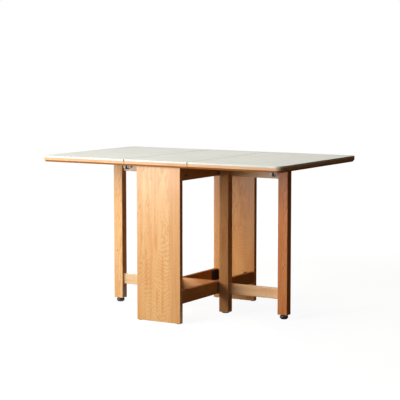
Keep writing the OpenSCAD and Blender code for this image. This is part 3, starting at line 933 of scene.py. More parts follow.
@dataclass(frozen=True)
class Wood:
    """Wood of one piece, cut from a log of its own.

    Attributes:
        name: Name of the material.
        timber: Kind of wood.
        axis: Axis of the grain.
        middle: Middle of the piece.
        staves: One figure, or three with two glue joints between them.
        joints: Places of the glue joints across the width.
        stave_width: Width of the many staves of a board, or 0.
        bevelled: Whether painted shade darkens the bevel on the lower edge and the faces inside the
            seams.
        sheen: Specular level of the oiled surface.
        seed: Number of the log.
        bevel_shade: Painted shade: what is left of the colour on the bevel that faces down.
        joint: Painted shade on the faces inside the seams.
        pore_depth: Height of the bump.
        pore_strength: Share of the bump that shows.
        end_grain: How far a face across the grain turns from it before it darkens, and fully.
        bevel_start: Downward slope at which the painted shade on the bevel starts, and is full.
        bevel_stop: Downward slope at which that painted shade fades into the flat underside, and is
            gone.
    """

    name: str
    timber: Timber
    axis: Axis
    middle: Sequence[float] = (0.0, 0.0, 0.0)
    staves: tuple[Figure, ...] = (Figure(),)
    joints: tuple[float, float] = (0.0, 0.0)
    stave_width: float = 0.0
    bevelled: bool = False
    sheen: float = 0.4
    seed: float = 0.0
    bevel_shade: Colour = (0.68, 0.4, 0.13)
    joint: Colour = (0.03, 0.018, 0.01)
    pore_depth: float = 0.12 * MM
    pore_strength: float = 0.6
    end_grain: tuple[float, float] = (0.55, 0.95)
    bevel_start: tuple[float, float] = (0.3, 0.6)
    bevel_stop: tuple[float, float] = (0.85, 0.98)

    def build(self, effects: Effects) -> Material:
        """Makes the material.

        Args:
            effects: The shared node groups.

        Returns:
            The material.
        """
        finish = Finish(self.name)
        graph = finish.graph
        rotation = Matrix(np.eye(3)[self.axis.order].tolist())
        grain = graph.add("Mapping", finish.place)
        grain.inputs["Location"].default_value = -(rotation @ Vector(self.middle))
        grain.inputs["Rotation"].default_value = rotation.to_euler()
        place = grain.outputs[0]
        normal = graph.split(finish.normal)
        across = graph.span(graph.size(normal[self.axis.value]), *self.end_grain)
        log = self._log(graph, effects, place)
        tone = log.pop("Tone")
        rings = graph.place(effects.rings, Vector=place, **log)
        wood = self.timber
        surface = graph.place(
            effects.oak, Vector=place, Growth=rings[0], Across=across, Tone=tone, Pale=wood.pale,
            Warm=wood.warm, Dark=wood.dark, Flush=wood.flush, Figure=wood.figure,
            Pore_Share=wood.pore_share, Seed=log["Seed"])
        colour = surface["Color"]
        if self.bevelled:
            # Painted shade: the bevel that faces down has its colour multiplied darker.
            steep = graph.math("MULTIPLY", normal[2], -1.0)
            bevel = graph.minus(graph.span(steep, *self.bevel_start),
                                graph.span(steep, *self.bevel_stop))
            colour = graph.mix(bevel, colour, self.bevel_shade, "MULTIPLY")
            # Painted shade on the faces inside the seams.
            colour = graph.mix(finish.seam(effects), colour, self.joint)
        finish.bump(surface["Height"], self.pore_depth, self.pore_strength)
        return finish.set(Base_Color=colour, Roughness=surface["Roughness"],
                          Specular_IOR_Level=self.sheen)

    def _log(self, graph: Graph, effects: Effects, place: Feed) -> dict[str, Feed]:
        """Says where the heart of the log lies.

        Args:
            graph: The material's graph.
            effects: The shared node groups.
            place: Place in the piece, along the grain.

        Returns:
            For each socket of the rings, one value or a socket that knows the stave.
        """
        staves = [{**asdict(stave), "seed": self.seed + more}
                  for stave, more in zip(self.staves, (0, 5.3, 9.1))]
        log: dict[str, Feed] = {name.title(): value for name, value in staves[0].items()}
        if self.stave_width:
            log.update(graph.place(effects.staves, Vector=place, Width=self.stave_width,
                                   Seed=self.seed).items())
        elif len(staves) == 3:
            side = graph.split(place)[0]
            for name in log:
                one, two, three = (stave[name.lower()] for stave in staves)
                log[name] = graph.place(
                    effects.step, Side=side, First_Joint=self.joints[0],
                    Second_Joint=self.joints[1], First=one, Second=two, Third=three)[0]
        return log


@dataclass(frozen=True)
class Stone:
    """Satin sintered stone: pale, with fine flecks and soft clouds, and painted shade on the faces
    inside the seams.
    """

    pale: Colour = (0.745, 0.76, 0.7)
    cloudy: Colour = (0.69, 0.705, 0.64)
    fleck: Colour = (0.56, 0.56, 0.5)
    side_tint: Colour = (0.86, 0.82, 0.75)
    # Painted shade on the faces inside the seams.
    joint: Colour = (0.05, 0.045, 0.035)
    edge_slope: tuple[float, float] = (0.2, 0.6)
    fleck_share: float = 0.35

    def build(self, effects: Effects) -> Material:
        """Makes the material, with its edges less pale than its top.

        Args:
            effects: The shared node groups.

        Returns:
            The material.
        """
        finish = Finish("sintered_stone")
        graph = finish.graph
        cloud = graph.span(finish.handled(effects, 0.3, 0.46), 0.35, 0.65)
        flecks = graph.times(finish.grained(effects, 420, 0.02 * MM, 0.5), self.fleck_share)
        colour = graph.mix(cloud, self.pale, self.cloudy)
        colour = graph.mix(flecks, colour, self.fleck)
        # Faces that turn away from up, the sides and the underside, are made darker and warmer than
        # the top.
        edge = graph.span(graph.split(finish.normal)[2], *self.edge_slope, 1, 0)
        colour = graph.mix(edge, colour, self.side_tint, "MULTIPLY")
        # The faces inside the seams get painted shade.
        return finish.set(Base_Color=graph.mix(finish.seam(effects), colour, self.joint))


@dataclass(frozen=True)
class Coated:
    """Grainy dark coat or casting, with paler flecks."""

    name: str
    colour: Colour
    rough: float
    scale: float = 2600

    def build(self, effects: Effects) -> Material:
        """Makes the material.

        Args:
            effects: The shared node groups.

        Returns:
            The material.
        """
        finish = Finish(self.name)
        finish.handled(effects, self.rough - 0.06, self.rough + 0.08)
        flecks = finish.grained(effects, self.scale, 0.03 * MM, 0.6)
        pale = [2.2 * part for part in self.colour]
        return finish.set(Base_Color=finish.graph.mix(flecks, self.colour, pale))


@dataclass(frozen=True)
class Moulded:
    """Moulded plastic with a slight orange peel, duller where it is touched."""

    name: str
    colour: Colour
    rough: float

    def build(self, effects: Effects) -> Material:
        """Makes the material.

        Args:
            effects: The shared node groups.

        Returns:
            The material.
        """
        finish = Finish(self.name)
        cloud = finish.handled(effects, self.rough - 0.05, self.rough + 0.1)
        finish.grained(effects, 700, 0.02 * MM, 0.4)
        worn = [min(1.0, 0.88 * part + 0.01) for part in self.colour]
        return finish.set(Base_Color=finish.graph.mix(cloud, self.colour, worn))


@dataclass(frozen=True)
class Zinc:
    """Bright zinc plate with fine drawn lines and slightly dull patches."""

    dull: Colour = (0.5, 0.51, 0.53)
    bright: Colour = (0.66, 0.66, 0.65)

    def build(self, effects: Effects) -> Material:
        """Makes the material.

        Args:
            effects: The shared node groups.

        Returns:
            The material.
        """
        finish = Finish("zinc_plate")
        tint = finish.graph.mix(finish.handled(effects, 0.22, 0.44), self.dull, self.bright)
        lines = finish.graph.noise(finish.place, (500, 2600, 500), 2, 3.0)
        finish.bump(lines, 0.015 * MM, 0.5)
        return finish.set(Base_Color=tint, Metallic=1.0)


@dataclass(frozen=True)
class Rubber:
    """Milky clear rubber, slightly see-through at its edge."""

    milky: Colour = (0.62, 0.56, 0.46)
    deep: Colour = (0.5, 0.43, 0.33)

    def build(self, effects: Effects) -> Material:
        """Makes the material.

        Args:
            effects: The shared node groups.

        Returns:
            The material.
        """
        finish = Finish("clear_rubber")
        tint = finish.graph.mix(finish.handled(effects, 0.25, 0.45), self.milky, self.deep)
        return finish.set(Base_Color=tint, Subsurface_Weight=0.3, Subsurface_Scale=2 * MM)


@dataclass(frozen=True)
class Coat:
    """A built material and the slot that it fills."""

    material: Material
    slot: Slot


@dataclass(frozen=True)
class Coats:
    """Every finish that isn't wood, each built once."""

    stone: Coat
    zinc: Coat
    rubber: Coat
    black_steel: Coat
    brown_steel: Coat
    oak_enamel: Coat
    ferrite: Coat
    white_plastic: Coat
    black_plastic: Coat

    @classmethod
    def build(cls, effects: Effects) -> "Coats":
        """Builds them all.

        Args:
            effects: The shared node groups.

        Returns:
            The built coats.
        """
        kinds = {
            "stone": (Stone(), Slot.STONE),
            "zinc": (Zinc(), Slot.ZINC_STEEL),
            "rubber": (Rubber(), Slot.CLEAR_RUBBER),
            "black_steel": (Coated("black_powder_coat", (0.016, 0.013, 0.011), 0.5),
                            Slot.BLACK_STEEL),
            "brown_steel": (Coated("brown_enamel", (0.03, 0.012, 0.004), 0.4), Slot.BROWN_STEEL),
            "oak_enamel": (Coated("oak_enamel", (0.36, 0.15, 0.045), 0.5), Slot.BLACK_STEEL),
            "ferrite": (Coated("ferrite", (0.012, 0.011, 0.011), 0.75, 3500), Slot.FERRITE),
            "white_plastic": (Moulded("white_plastic", (0.93, 0.92, 0.89), 0.14),
                              Slot.WHITE_PLASTIC),
            "black_plastic": (Moulded("black_plastic", (0.014, 0.015, 0.018), 0.3),
                              Slot.BLACK_PLASTIC)}
        return cls(**{name: Coat(finish.build(effects), slot)
                      for name, (finish, slot) in kinds.items()})


class Workshop:
    """Puts dressed pieces into the scene, each on the body of the CAD node it stands for."""

    def __init__(self) -> None:
        """Notes which body every node rides on."""
        bodies = frame["record"]["behaviour"]["bodies"]
        self.body_of = {node: body for body, nodes in bodies.items() for node in nodes}

    def _settle(self, piece: bpy.types.Object, node: str, coat: Coat) -> None:
        """Gives a new piece its finish, its body and the node that it stands for.

        Args:
            piece: The new piece.
            node: CAD node that it stands for.
            coat: Its finish.
        """
        piece.data.materials.append(coat.material)
        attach(piece, self.body_of[node])
        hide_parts(node)
        LOG.info("%s stands for %s", piece.name, node)

    def add(self, node: str, what: str, surface: Surface, coat: Coat,
            sharp_deg: float = SHARP_DEG) -> None:
        """Adds a computed surface in place of a node.

        Args:
            node: CAD node that it stands for.
            what: Word added to the node's name.
            surface: The surface in world axes.
            coat: Its finish.
            sharp_deg: Edges that turn by more than this stay sharp.
        """
        self._settle(surface.to_object(f"{node}_{what}", sharp_deg), node, coat)

    def soften(self, node: str, what: str, width: float, coat: Coat) -> None:
        """Adds a copy of a node with its edges broken.

        Args:
            node: CAD node that is copied.
            what: Word added to the node's name.
            width: Width of the broken edges.
            coat: Its finish.
        """
        work = bmesh.new()
        work.from_mesh(frame["nodes"][node].data)
        bmesh.ops.remove_doubles(work, verts=work.verts, dist=MERGE)
        bmesh.ops.dissolve_limit(work, angle_limit=math.radians(FLAT_DEG), verts=work.verts,
                                 edges=work.edges)
        edges = [e for e in work.edges if e.calc_face_angle(0) > math.radians(EDGE_DEG)]
        bmesh.ops.bevel(work, geom=edges, offset=width, offset_type="OFFSET", segments=2,
                        profile=0.5, affect="EDGES", clamp_overlap=True)
        mesh = bpy.data.meshes.new(f"{node}_{what}")
        work.to_mesh(mesh)
        work.free()
        piece = shown(mesh, SHARP_DEG)
        piece.modifiers.new("even_normals", "WEIGHTED_NORMAL").keep_sharp = True
        self._settle(piece, node, coat)

    def paint(self, node: str, material: Material) -> None:
        """Gives a CAD node its finish.

        Args:
            node: CAD node that is shown as it is.
            material: Its finish.
        """
        thing = frame["nodes"][node]
        if not thing.material_slots:
            thing.data.materials.append(material)
        for place in thing.material_slots:
            place.material = material
        LOG.info("%s keeps its shape", node)


@dataclass(frozen=True)
class Screw:
    """Cross-head screw, its sizes in metres.

    Attributes:
        head: Radius of the head.
        rise: Height of the domed head above its seat, or 0 for a countersunk head.
        shank: Radius of the shank.
        length: Length under the seat.
        around: Points round the screw.
        arm: Half the width of the cross's arms, as a share of the head.
        reach: Length of the arms, as a share of the head.
        soft: Width of the arms' slopes, as a share of the head.
        deep: Depth of the cross, as a share of the head.
    """

    head: float
    rise: float
    shank: float
    length: float
    around: int = 32
    arm: float = 0.13
    reach: float = 0.56
    soft: float = 0.08
    deep: float = 0.3

    def surface(self) -> Surface:
        """Surface with the seat at zero and the tip pointing down.

        Rings climb the shank and the head. On the top, the height of a ring of radius r is
        rise * (1 - (r / head) ** 3), less the depth of the cross: where a point lies within the
        width of either arm and within the arms' length, the surface sinks, deepest in the middle.

        Returns:
            The closed surface in local axes.
        """
        angle = np.linspace(0, 2 * math.pi, self.around, endpoint=False)
        sink = self.head - self.shank if self.rise == 0 else 0.0
        side = np.array([
            (0.2 * self.shank, -self.length), (self.shank, -self.length + self.shank),
            (self.shank, -sink), (self.head, 0)])
        radius = self.head * np.linspace(1, 0.04, 14) ** 1.15
        radius = np.concatenate([side[:, 0], radius])[:, None]
        top = self.rise * (1 - (radius[4:] / self.head) ** 3)
        x, y = radius * np.cos(angle), radius * np.sin(angle)
        z = np.concatenate([side[:, 1:] + 0 * angle, top + 0 * angle])
        arm, reach, soft = (share * self.head for share in (self.arm, self.reach, self.soft))

        def within(distance: np.ndarray, limit: float) -> np.ndarray:
            """1 inside a limit and 0 outside, with a soft step."""
            return 1 - np.clip((np.abs(distance) - limit) / soft, 0, 1)

        cross = np.maximum(within(x, arm) * within(y, reach), within(y, arm) * within(x, reach))
        depth = (self.deep * self.head) * (1.2 - np.hypot(x, y) / self.head)
        z[4:] -= (cross * depth)[4:]
        return Surface.loft(np.stack([x, y, z], axis=-1))

    def at(self, box: Box, head_high: bool) -> Surface:
        """Lays the screw along the long axis of a box.

        Args:
            box: Box of the screw.
            head_high: Whether its head is at the higher end.

        Returns:
            The screw in world axes.
        """
        axis = box.long_axis
        local = self.surface() if head_high else self.surface().upended()
        low, high = axis.to_local(box.low), axis.to_local(box.high)
        seat = high[2] - self.rise if head_high else low[2] + self.rise
        middle = (low + high) / 2
        return local.moved((middle[0], middle[1], seat)).turned(axis)


@dataclass
class Table:
    """What every sub-assembly of the table needs."""

    workshop: Workshop
    effects: Effects
    coats: Coats
    glide_edge: float = 0.5 * MM

    def wood(self, node: str, axis: Axis, tone: Colour, **more: object) -> Coat:
        """Cuts oak for one node from a log of its own.

        Args:
            node: Name of the node.
            axis: Axis of the grain.
            tone: What the oak's colours are multiplied by.
            more: Further fields of the wood.

        Returns:
            The oak and its slot.
        """
        seed = 1.7 + 0.37 * len(node) + 3.1 * (sum(map(ord, node)) % 17)
        wood = Wood(f"{node}_oak", OAK.toned(tone), axis, tuple(Box.of(node).middle), seed=seed,
                    **more)
        return Coat(wood.build(self.effects), Slot.OAK)

    def dowels(self, node: str, name: str, axis: Axis) -> None:
        """Beech for the dowels of a node."""
        self.workshop.paint(node, Wood(name, BEECH, axis).build(self.effects))


@dataclass
class TableTop(Table):
    """Stone slabs on oak boards: a fixed centre and two leaves."""

    corner_radius: float = 28 * MM
    corner_steps: int = 14
    arris: float = 1.1 * MM
    joint_arris: float = 1.2 * MM
    seam_radius: float = 1.8 * MM
    stave_width: float = 97.5 * MM
    board_edge: float = 1.2 * MM
    tone: Colour = (0.87, 0.85, 0.94)
    sheen: float = 0.15

    def build(self) -> None:
        """Makes the slabs and the boards."""
        for node in ("left_leaf", "centre", "right_leaf"):
            slab, board = f"{node}_slab", f"{node}_board"
            self.workshop.add(slab, "stone", self._slab(slab), self.coats.stone)
            # The boards get painted shade on their bevels and inside the seams.
            oak = self.wood(board, Axis.X, self.tone, bevelled=True,
                            stave_width=self.stave_width, sheen=self.sheen)
            self.workshop.soften(board, "oak", self.board_edge, oak)

    def _slab(self, node: str) -> Surface:
        """Makes a slab with a softened upper edge, rounder at the two free corners of a leaf.

        Args:
            node: Name of the node.

        Returns:
            The slab in world axes.
        """
        box = Box.of(node)
        outline = Outline.rectangle(box.low[:2], box.high[:2], self.seam_radius)
        outline.steps = self.corner_steps
        free = {"left": [0, 3], "centre": [], "right": [1, 2]}[node.split("_")[0]]
        outline.radii[free] = self.corner_radius
        profile = edge_profile(box.size[2], self.joint_arris, self.arris)
        return prism(outline, profile, box.low[2])


@dataclass
class Carcass(Table):
    """Fixed frame: two planks joined by long rails and cross rails."""

    edge: float = 2.5 * MM
    rail_edge: float = 2 * MM
    end: float = 1 * MM
    front_tone: Colour = (0.84, 0.74, 0.56)
    front_joints: tuple[float, float] = (-0.035, 0.058)
    front: tuple[Figure, ...] = (
        Figure(-0.057, 0.12, 0.01, -0.05, -0.28, 0.0052, 0.16),
        Figure(0.028, 0.09, 0.015, 0.03, 0.3, 0.005, -0.12),
        Figure(-0.09, 0.06, 0.02, ring=0.003, tone=0.16))
    # The back plank's tone is partly the wood's own and partly painted shade, which makes it
    # redder.
    back_tone_and_shade: Colour = (1.08, 0.84, 0.55)
    back_joints: tuple[float, float] = (-0.02, 0.07)
    back: tuple[Figure, ...] = (
        Figure(-0.06, 0.09, 0.03, 0.1, 0.2, 0.005),
        Figure(0.046, 0.1, 0.02, 0.03, -0.45, 0.006, -0.08),
        Figure(-0.02, 0.06, 0.03, ring=0.003, tone=0.15))
    quarter: Figure = Figure(0.09, 0.05, 0.02, ring=0.003)
    # The tones of the aprons and rails are partly the wood's own and partly painted shade, which
    # makes them darker and redder.
    apron_tone_and_shade: Colour = (1, 0.72, 0.4)
    apron_sheen: float = 0.2
    low_rail_tone_and_shade: Colour = (0.86, 0.62, 0.36)
    cross_rail_tone_and_shade: Colour = (0.95, 0.78, 0.72)

    def build(self) -> None:
        """Makes the planks and the rails."""
        self._bar("front_plank", Axis.Z, self.edge, self.front_tone, staves=self.front,
                  joints=self.front_joints)
        self._bar("back_plank", Axis.Z, self.edge, self.back_tone_and_shade, staves=self.back,
                  joints=self.back_joints)
        for node, axis, tone, sheen in (
                ("left_apron", Axis.Y, self.apron_tone_and_shade, self.apron_sheen),
                ("left_lower_rail", Axis.Y, self.low_rail_tone_and_shade, 0.0),
                ("right_apron", Axis.Y, self.apron_tone_and_shade, self.apron_sheen),
                ("right_lower_rail", Axis.Y, self.low_rail_tone_and_shade, 0.0),
                ("lower_cross_rail", Axis.X, self.cross_rail_tone_and_shade, 0.0),
                ("upper_cross_rail", Axis.X, self.cross_rail_tone_and_shade, 0.0)):
            self._bar(node, axis, self.rail_edge, tone, staves=(self.quarter,), sheen=sheen)
        self.dowels("frame_dowels", "dowel_beech", Axis.Y)

    def _bar(self, node: str, axis: Axis, edge: float, tone: Colour, **more: object) -> None:
        """One solid or glued bar in place of a node."""
        surface = bar(Box.of(node), axis, edge, self.end)
        self.workshop.add(node, "oak", surface, self.wood(node, axis, tone, **more))


@dataclass
class Gate(Carcass):
    """Swinging gate: two posts, two rails, a catch, a bumper, a glide and a levelling foot."""

    side: str = "left"
    straight: Figure = Figure(0.03, 0.09, 0.02, ring=0.003)
    # The tones of the posts are partly the wood's own and partly painted shade, which makes the
    # shaded inner posts redder.
    inner_tone_and_shade: Colour = (1.15, 0.9, 0.66)
    post_tone_and_shade: Colour = (0.95, 0.94, 0.88)
    post_sheen: float = 0.25
    # The gate rails' tone is partly the wood's own and partly painted light, which makes them paler
    # than the oak.
    rail_tone: Colour = (1, 1.12, 1.3)
    gate_edge: float = 4 * MM
    ear_depth: float = 9 * MM
    half_middle: float = 9.5 * MM
    magnet_proud: float = 0.15 * MM
    magnet_edge: float = 0.4 * MM
    magnet_end: float = 0.3 * MM
    catch_end: float = 0.8 * MM
    catch_radii_mm: tuple[float, ...] = (1.2, 1.2, 0.6, 1.5, 0.3, 0.3, 1.5, 0.6)
    foot_bores_mm: tuple[float, float] = (2, 3.8)
    foot_sole_mm: float = 14
    foot_rim_mm: float = 19.75
    foot_slope_mm: float = 7
    foot_soft_mm: float = 2.2
    foot_around: int = 64
    dome_mm: tuple[tuple[float, float], ...] = (
        (0.4, 0), (2, 0), (2, 8), (4, 8), (4, 10.2), (2.5, 11.7), (0.3, 11.7))
    dome_soft_mm: float = 0.9
    dome_around: int = 40
    stud_edge: float = 0.4 * MM

    def build(self) -> None:
        """Makes every piece of the gate."""
        grain = {"staves": (self.straight,)}
        for post, tone in (("inner_post", self.inner_tone_and_shade), ("outer_post", self.post_tone_and_shade)):
            self._bar(f"{self.side}_{post}", Axis.Z, self.edge, tone, sheen=self.post_sheen,
                      **grain)
        for rail in ("gate_upper_rail", "gate_lower_rail"):
            self._bar(f"{self.side}_{rail}", Axis.X, self.gate_edge, self.rail_tone, **grain)
        self._catch()
        self._foot()
        self._bumper()
        self._glide_and_stud()
        self.dowels(f"{self.side}_gate_dowels", f"{self.side}_dowel_beech", Axis.X)

    def _catch(self) -> None:
        """Catch: a housing with two ears, and its magnet standing a hair proud."""
        node = f"{self.side}_catch_body"
        low, high = Box.of(node).low, Box.of(node).high
        left, right = (low[0] + high[0]) / 2 + np.array([-1, 1]) * self.half_middle
        ear = high[1] - self.ear_depth
        corners = np.array([
            (left, low[1]), (right, low[1]), (right, ear), (high[0], ear),
            (high[0], high[1]), (low[0], high[1]), (low[0], ear), (left, ear)])
        outline = Outline(corners, np.array(self.catch_radii_mm) * MM)
        body = prism(outline, edge_profile(high[2] - low[2], self.catch_end, self.catch_end),
                     low[2])
        self.workshop.add(node, "housing", body, self.coats.white_plastic)
        magnet = Box.of(f"{self.side}_catch_magnet")
        magnet.low[1] -= self.magnet_proud
        block = bar(magnet, Axis.Y, self.magnet_edge, self.magnet_end)
        self.workshop.add(f"{self.side}_catch_magnet", "block", block, self.coats.ferrite)

    def _foot(self) -> None:
        """Levelling foot: a round moulding that slopes in at its sole and at its top."""
        foot = f"{self.side}_foot"
        box = Box.of(foot)
        high = box.size[2] / MM
        sole, rim, slope = self.foot_sole_mm, self.foot_rim_mm, self.foot_slope_mm
        under, over = self.foot_bores_mm
        profile = softened_profile([
            (under, 0), (sole, 0), (rim, slope), (rim, high - slope), (sole, high),
            (over, high)], self.foot_soft_mm) * MM
        surface = turned(profile, self.foot_around)
        surface = surface.moved((box.middle[0], box.middle[1], box.low[2]))
        self.workshop.add(foot, "moulding", surface, self.coats.black_plastic)

    def _bumper(self) -> None:
        """Small rubber dome on the outer post, with its stem in the wood."""
        node = f"{self.side}_bumper"
        box = Box.of(node)
        profile = softened_profile(self.dome_mm, self.dome_soft_mm) * MM
        surface = turned(profile, self.dome_around).upended().turned(Axis.Y)
        surface = surface.moved((box.middle[0], box.high[1], box.middle[2]))
        self.workshop.add(node, "dome", surface, self.coats.rubber)

    def _glide_and_stud(self) -> None:
        """Glide under the inner post, and the stud and insert of the levelling foot."""
        self.workshop.soften(f"{self.side}_glide", "disc", self.glide_edge,
                             self.coats.black_plastic)
        for piece in ("foot_stud", "foot_insert"):
            self.workshop.soften(f"{self.side}_{piece}", "steel", self.stud_edge,
                                 self.coats.zinc)


@dataclass
class Ironwork(Table):
    """Hinges, brackets, screws and strike pins."""

    hinge_edge: float = 0.25 * MM
    bend: float = 3.2 * MM
    inner_bend: float = 0.8 * MM
    plate_corner: float = 0.5 * MM
    plate_end: float = 0.35 * MM
    tall_bracket: float = 40 * MM
    corner_plate: float = 2.5 * MM
    top_plate: float = 2 * MM
    head_sharp_deg: float = 50
    flush: Screw = Screw(3.5 * MM, 0, 1.75 * MM, 14 * MM)
    short: Screw = Screw(3.5 * MM, 0, 1.75 * MM, 10 * MM)
    round_head: Screw = Screw(4 * MM, 2.5 * MM, 2 * MM, 15 * MM)

    def build(self) -> None:
        """Makes them all."""
        black, zinc = self.coats.black_steel, self.coats.zinc
        for coat, nodes in (
                (black, ("gate_hinge_rail_plates", "left_gate_hinge_plates",
                         "right_gate_hinge_plates")),
                (self.coats.oak_enamel, ("strike_pins",)),
                (zinc, ("leaf_hinge_centre_plates", "left_leaf_hinge_plates",
                        "right_leaf_hinge_plates", "leaf_hinge_pins", "gate_hinge_pins"))):
            for node in nodes:
                self.workshop.soften(node, "steel", self.hinge_edge, coat)
        self._screws("corner_screws", self.round_head, black)
        self._screws("top_bracket_screws", self.round_head, zinc)
        self._screws("frame_hinge_screws", self.flush, zinc)
        for side in ("left", "right"):
            self._screws(f"{side}_gate_hinge_screws", self.flush, zinc)
            self._screws(f"{side}_leaf_hinge_screws", self.flush, zinc)
            self._screws(f"{side}_catch_screws", self.short, zinc)
        self._brackets("corner_brackets", self.corner_plate, self.coats.brown_steel)
        self._brackets("top_brackets", self.top_plate, black)
        self.workshop.soften("plank_glides", "disc", self.glide_edge, self.coats.black_plastic)

    def _screws(self, node: str, screw: Screw, coat: Coat) -> None:
        """Puts cross-head screws in place of the plain ones of a node.

        Args:
            node: Name of the node.
            screw: Kind of screw.
            coat: Its finish.
        """
        parts = [screw.at(box, high) for box, high in screws_of(node)]
        self.workshop.add(node, "heads", Surface.joined(parts), coat, self.head_sharp_deg)

    def _brackets(self, node: str, thickness: float, coat: Coat) -> None:
        """Angle brackets with a bent corner in place of the sharp ones of a node."""
        parts = [self._bracket(box, thickness) for _, box in solids(node)]
        self.workshop.add(node, "bent", Surface.joined(parts), coat)

    def _bracket(self, box: Box, thickness: float) -> Surface:
        """Makes one bracket where X and Y are positive, and flips it to its own place.

        Args:
            box: Box of the bracket.
            thickness: Thickness of its plate.

        Returns:
            The bracket in world axes.
        """
        signs = np.where(box.middle < 0, -1, 1)
        ends = np.sort([box.low * signs, box.high * signs], axis=0)
        size = ends[1] - ends[0]
        axis = Axis.Z if size[2] > self.tall_bracket else Axis(int(np.argmin(size)))
        low, high = axis.to_local(ends)
        inner = high - thickness
        corners = np.array([
            (low[0], inner[1]), (inner[0], inner[1]), (inner[0], low[1]),
            (high[0], low[1]), (high[0], high[1]), (low[0], high[1])])
        radii = np.full(6, self.plate_corner)
        radii[1] = self.inner_bend
        radii[4] = self.bend
        profile = edge_profile(high[2] - low[2], self.plate_end, self.plate_end, 3)
        surface = prism(Outline(corners, radii), profile, low[2]).turned(axis)
        for flip in (Axis.X, Axis.Y):
            if signs[flip.value] < 0:
                surface = surface.flipped(flip)
        return surface


@dataclass(frozen=True)
class Lamp:
    """Rectangular soft lamp that faces a point."""

    name: str
    place: Sequence[float]
    aim: Sequence[float]
    size: tuple[float, float]
    power: float
    colour: Colour = (1, 1, 1)

    def build(self) -> None:
        """Hangs the lamp."""
        data = bpy.data.lights.new(self.name, "AREA")
        data.shape = "RECTANGLE"
        data.size, data.size_y = self.size
        data.energy = self.power
        data.color = self.colour
        lamp = bpy.data.objects.new(self.name, data)
        lamp.location = self.place
        way = Vector(self.aim) - Vector(self.place)
        lamp.rotation_euler = way.to_track_quat("-Z", "Y").to_euler()
        bpy.context.scene.collection.objects.link(lamp)


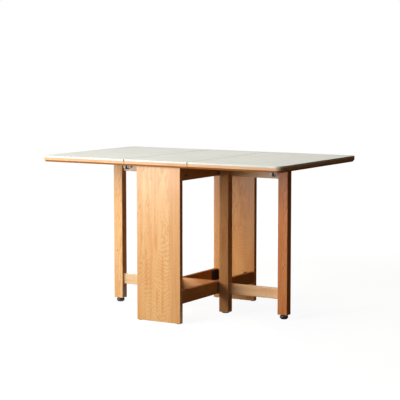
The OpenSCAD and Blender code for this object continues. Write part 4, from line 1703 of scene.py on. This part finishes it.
@dataclass
class Studio:
    """Floor, backdrop, lamps and camera."""

    focal_px: float = 1396.42
    camera_at: tuple[float, float, float] = (3.44186, -5.72115, 1.23629)
    yaw: float = 0.5409
    pitch: float = 0.10464
    image_px: int = 400
    sensor_mm: float = 36
    view_end: float = 60
    floor_drop: float = 0.3 * MM
    floor_reach: float = 30.0
    floor_colour: Colour = (0.14, 0.14, 0.135)
    pale_from: float = 1.2
    pale_to: float = 3.5
    near_glow: float = 0.93
    far_glow: float = 1.0
    flag_near: float = 0.08
    flag_at: tuple[float, float, float] = (1.3, 1.5, 0)
    flag_size: tuple[float, float] = (3.2, 2.4)
    flag_colour: Colour = (0.11, 0.053, 0.016)
    fill_colour: Colour = (1, 0.97, 0.93)
    fill_strength: float = 0.13
    lamps: tuple[Lamp, ...] = (
        Lamp("key", (-2.35, -2.0, 1.32), (0, 0, 0.5), (2.4, 1.95), 82),
        Lamp("front", (-0.84, -2.96, 1.45), (0, 0, 0.5), (0.85, 1.8), 62),
        Lamp("sheen", (-0.9, -1.75, 0.55), (0, -0.3, 0.6), (0.4, 0.2), 5),
        Lamp("overhead", (-0.2, 0.2, 2.7), (0, 0, 0.75), (2.2, 1.6), 20, (1, 0.97, 0.83)),
        Lamp("back", (-2.0, 2.1, 0.45), (0, 0, 0.4), (1.6, 0.5), 14, (1, 0.98, 0.95)))

    def build(self) -> None:
        """Makes the stage."""
        bpy.context.scene.view_settings.view_transform = "Standard"
        self._camera()
        self._floor()
        self._world()
        self._flag()
        for lamp in self.lamps:
            lamp.build()

    def _camera(self) -> None:
        """Camera at the photograph's place and angle."""
        data = bpy.data.cameras.new("camera")
        data.sensor_width = self.sensor_mm
        data.lens = self.focal_px * data.sensor_width / self.image_px
        data.clip_end = self.view_end
        camera = bpy.data.objects.new("camera", data)
        camera.location = self.camera_at
        camera.rotation_euler = (math.pi / 2 - self.pitch, 0, self.yaw)
        bpy.context.scene.collection.objects.link(camera)
        bpy.context.scene.camera = camera

    @staticmethod
    def _seen(graph: Graph, plain: Wire, bright: Wire) -> Wire:
        """Chooses a bright shader for rays that see it and met no dull surface before.

        Args:
            graph: The material's or the world's graph.
            plain: Shader for the other rays.
            bright: Shader for the rays that see it.

        Returns:
            The chosen shader.
        """
        path = graph.add("LightPath").outputs
        seen = graph.math("MAXIMUM", path["Is Camera Ray"], path["Is Glossy Ray"])
        seen = graph.math("MAXIMUM", seen, path["Is Transmission Ray"])
        seen = graph.times(seen, graph.math("LESS_THAN", path["Diffuse Depth"], 0.5))
        return graph.add("MixShader", seen, plain, bright).outputs[0]

    @staticmethod
    def _stage(name: str, points: Sequence[Sequence[float]], faces: Sequence[Sequence[int]],
               finish: str) -> tuple[bpy.types.Object, Material]:
        """Adds a sheet of the stage.

        Args:
            name: Name of the sheet.
            points: Its corners.
            faces: Its faces.
            finish: Name of its material.

        Returns:
            The sheet and its material.
        """
        mesh = bpy.data.meshes.new(name)
        mesh.from_pydata(points, [], faces)
        thing = bpy.data.objects.new(name, mesh)
        bpy.context.scene.collection.objects.link(thing)
        material = bpy.data.materials.new(finish)
        material.use_nodes = True
        mesh.materials.append(material)
        return thing, material

    def _floor(self) -> None:
        """Plain pale floor that keeps the table's shadow and is palest far from it."""
        reach = self.floor_reach
        points = [(x, y, -self.floor_drop) for x, y in
                  ((-reach, -reach), (reach, -reach), (reach, reach), (-reach, reach))]
        _, material = self._stage("floor", points, [(0, 1, 2, 3)], "pale_floor")
        material.node_tree.nodes.clear()
        graph = Graph(material.node_tree)
        place = graph.add("TexCoord").outputs["Object"]
        distance = graph.add("VectorMath", place, operation="LENGTH").outputs["Value"]
        paint = graph.add("BsdfDiffuse", self.floor_colour).outputs[0]
        strength = graph.span(distance, self.pale_from, self.pale_to, self.near_glow,
                              self.far_glow)
        glow = graph.add("Emission", (1, 1, 1), strength).outputs[0]
        both = graph.add("AddShader", paint, glow).outputs[0]
        graph.add("OutputMaterial", self._seen(graph, paint, both))

    def _flag(self) -> None:
        """Brown cloth that deepens the shaded side, met only by dull and glossy reflections.

        It lies on the floor from under the table's edge and rises behind it, out of sight.
        """
        far = Vector(self.flag_at)
        across = Vector((-far.y, far.x, 0)).normalized() * self.flag_size[0] / 2
        points = [side * across + place for place in (
            self.flag_near * far, far, far + Vector((0, 0, self.flag_size[1])))
            for side in (-1, 1)]
        flag, material = self._stage("flag", points, [(0, 1, 3, 2), (2, 3, 5, 4)], "brown_cloth")
        flag.visible_camera = flag.visible_shadow = False
        shader = material.node_tree.nodes["Principled BSDF"]
        shader.inputs["Base Color"].default_value = (*self.flag_colour, 1)
        shader.inputs["Roughness"].default_value = 1
        shader.inputs["Specular IOR Level"].default_value = 0

    def _world(self) -> None:
        """White backdrop over a low, even fill."""
        world = bpy.data.worlds.new("backdrop")
        bpy.context.scene.world = world
        world.use_nodes = True
        world.node_tree.nodes.clear()
        graph = Graph(world.node_tree)
        fill = graph.add("Background", self.fill_colour, self.fill_strength).outputs[0]
        white = graph.add("Background", (1, 1, 1), 1).outputs[0]
        graph.add("OutputWorld", self._seen(graph, fill, white))


def corners(bounds: Sequence[Sequence[float]]) -> list[list[float]]:
    """Bounds as plain lists of numbers."""
    return [[float(value) for value in corner] for corner in bounds]


def main() -> None:
    """Builds the table and its studio."""
    logging.basicConfig(level=logging.INFO, format="%(message)s")
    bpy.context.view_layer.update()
    Studio().build()
    effects = Effects()
    shared = (Workshop(), effects, Coats.build(effects))
    TableTop(*shared).build()
    Carcass(*shared).build()
    Gate(*shared, side="left").build()
    # The right gate's posts get a darker, redder tone that is partly painted shade, and its rails a
    # lighter one that is partly painted light.
    Gate(*shared, side="right", post_tone_and_shade=(0.78, 0.45, 0.26), rail_tone=(1.2, 1.2, 1.25)).build()
    Ironwork(*shared).build()


if __name__ == "__main__":
    main()
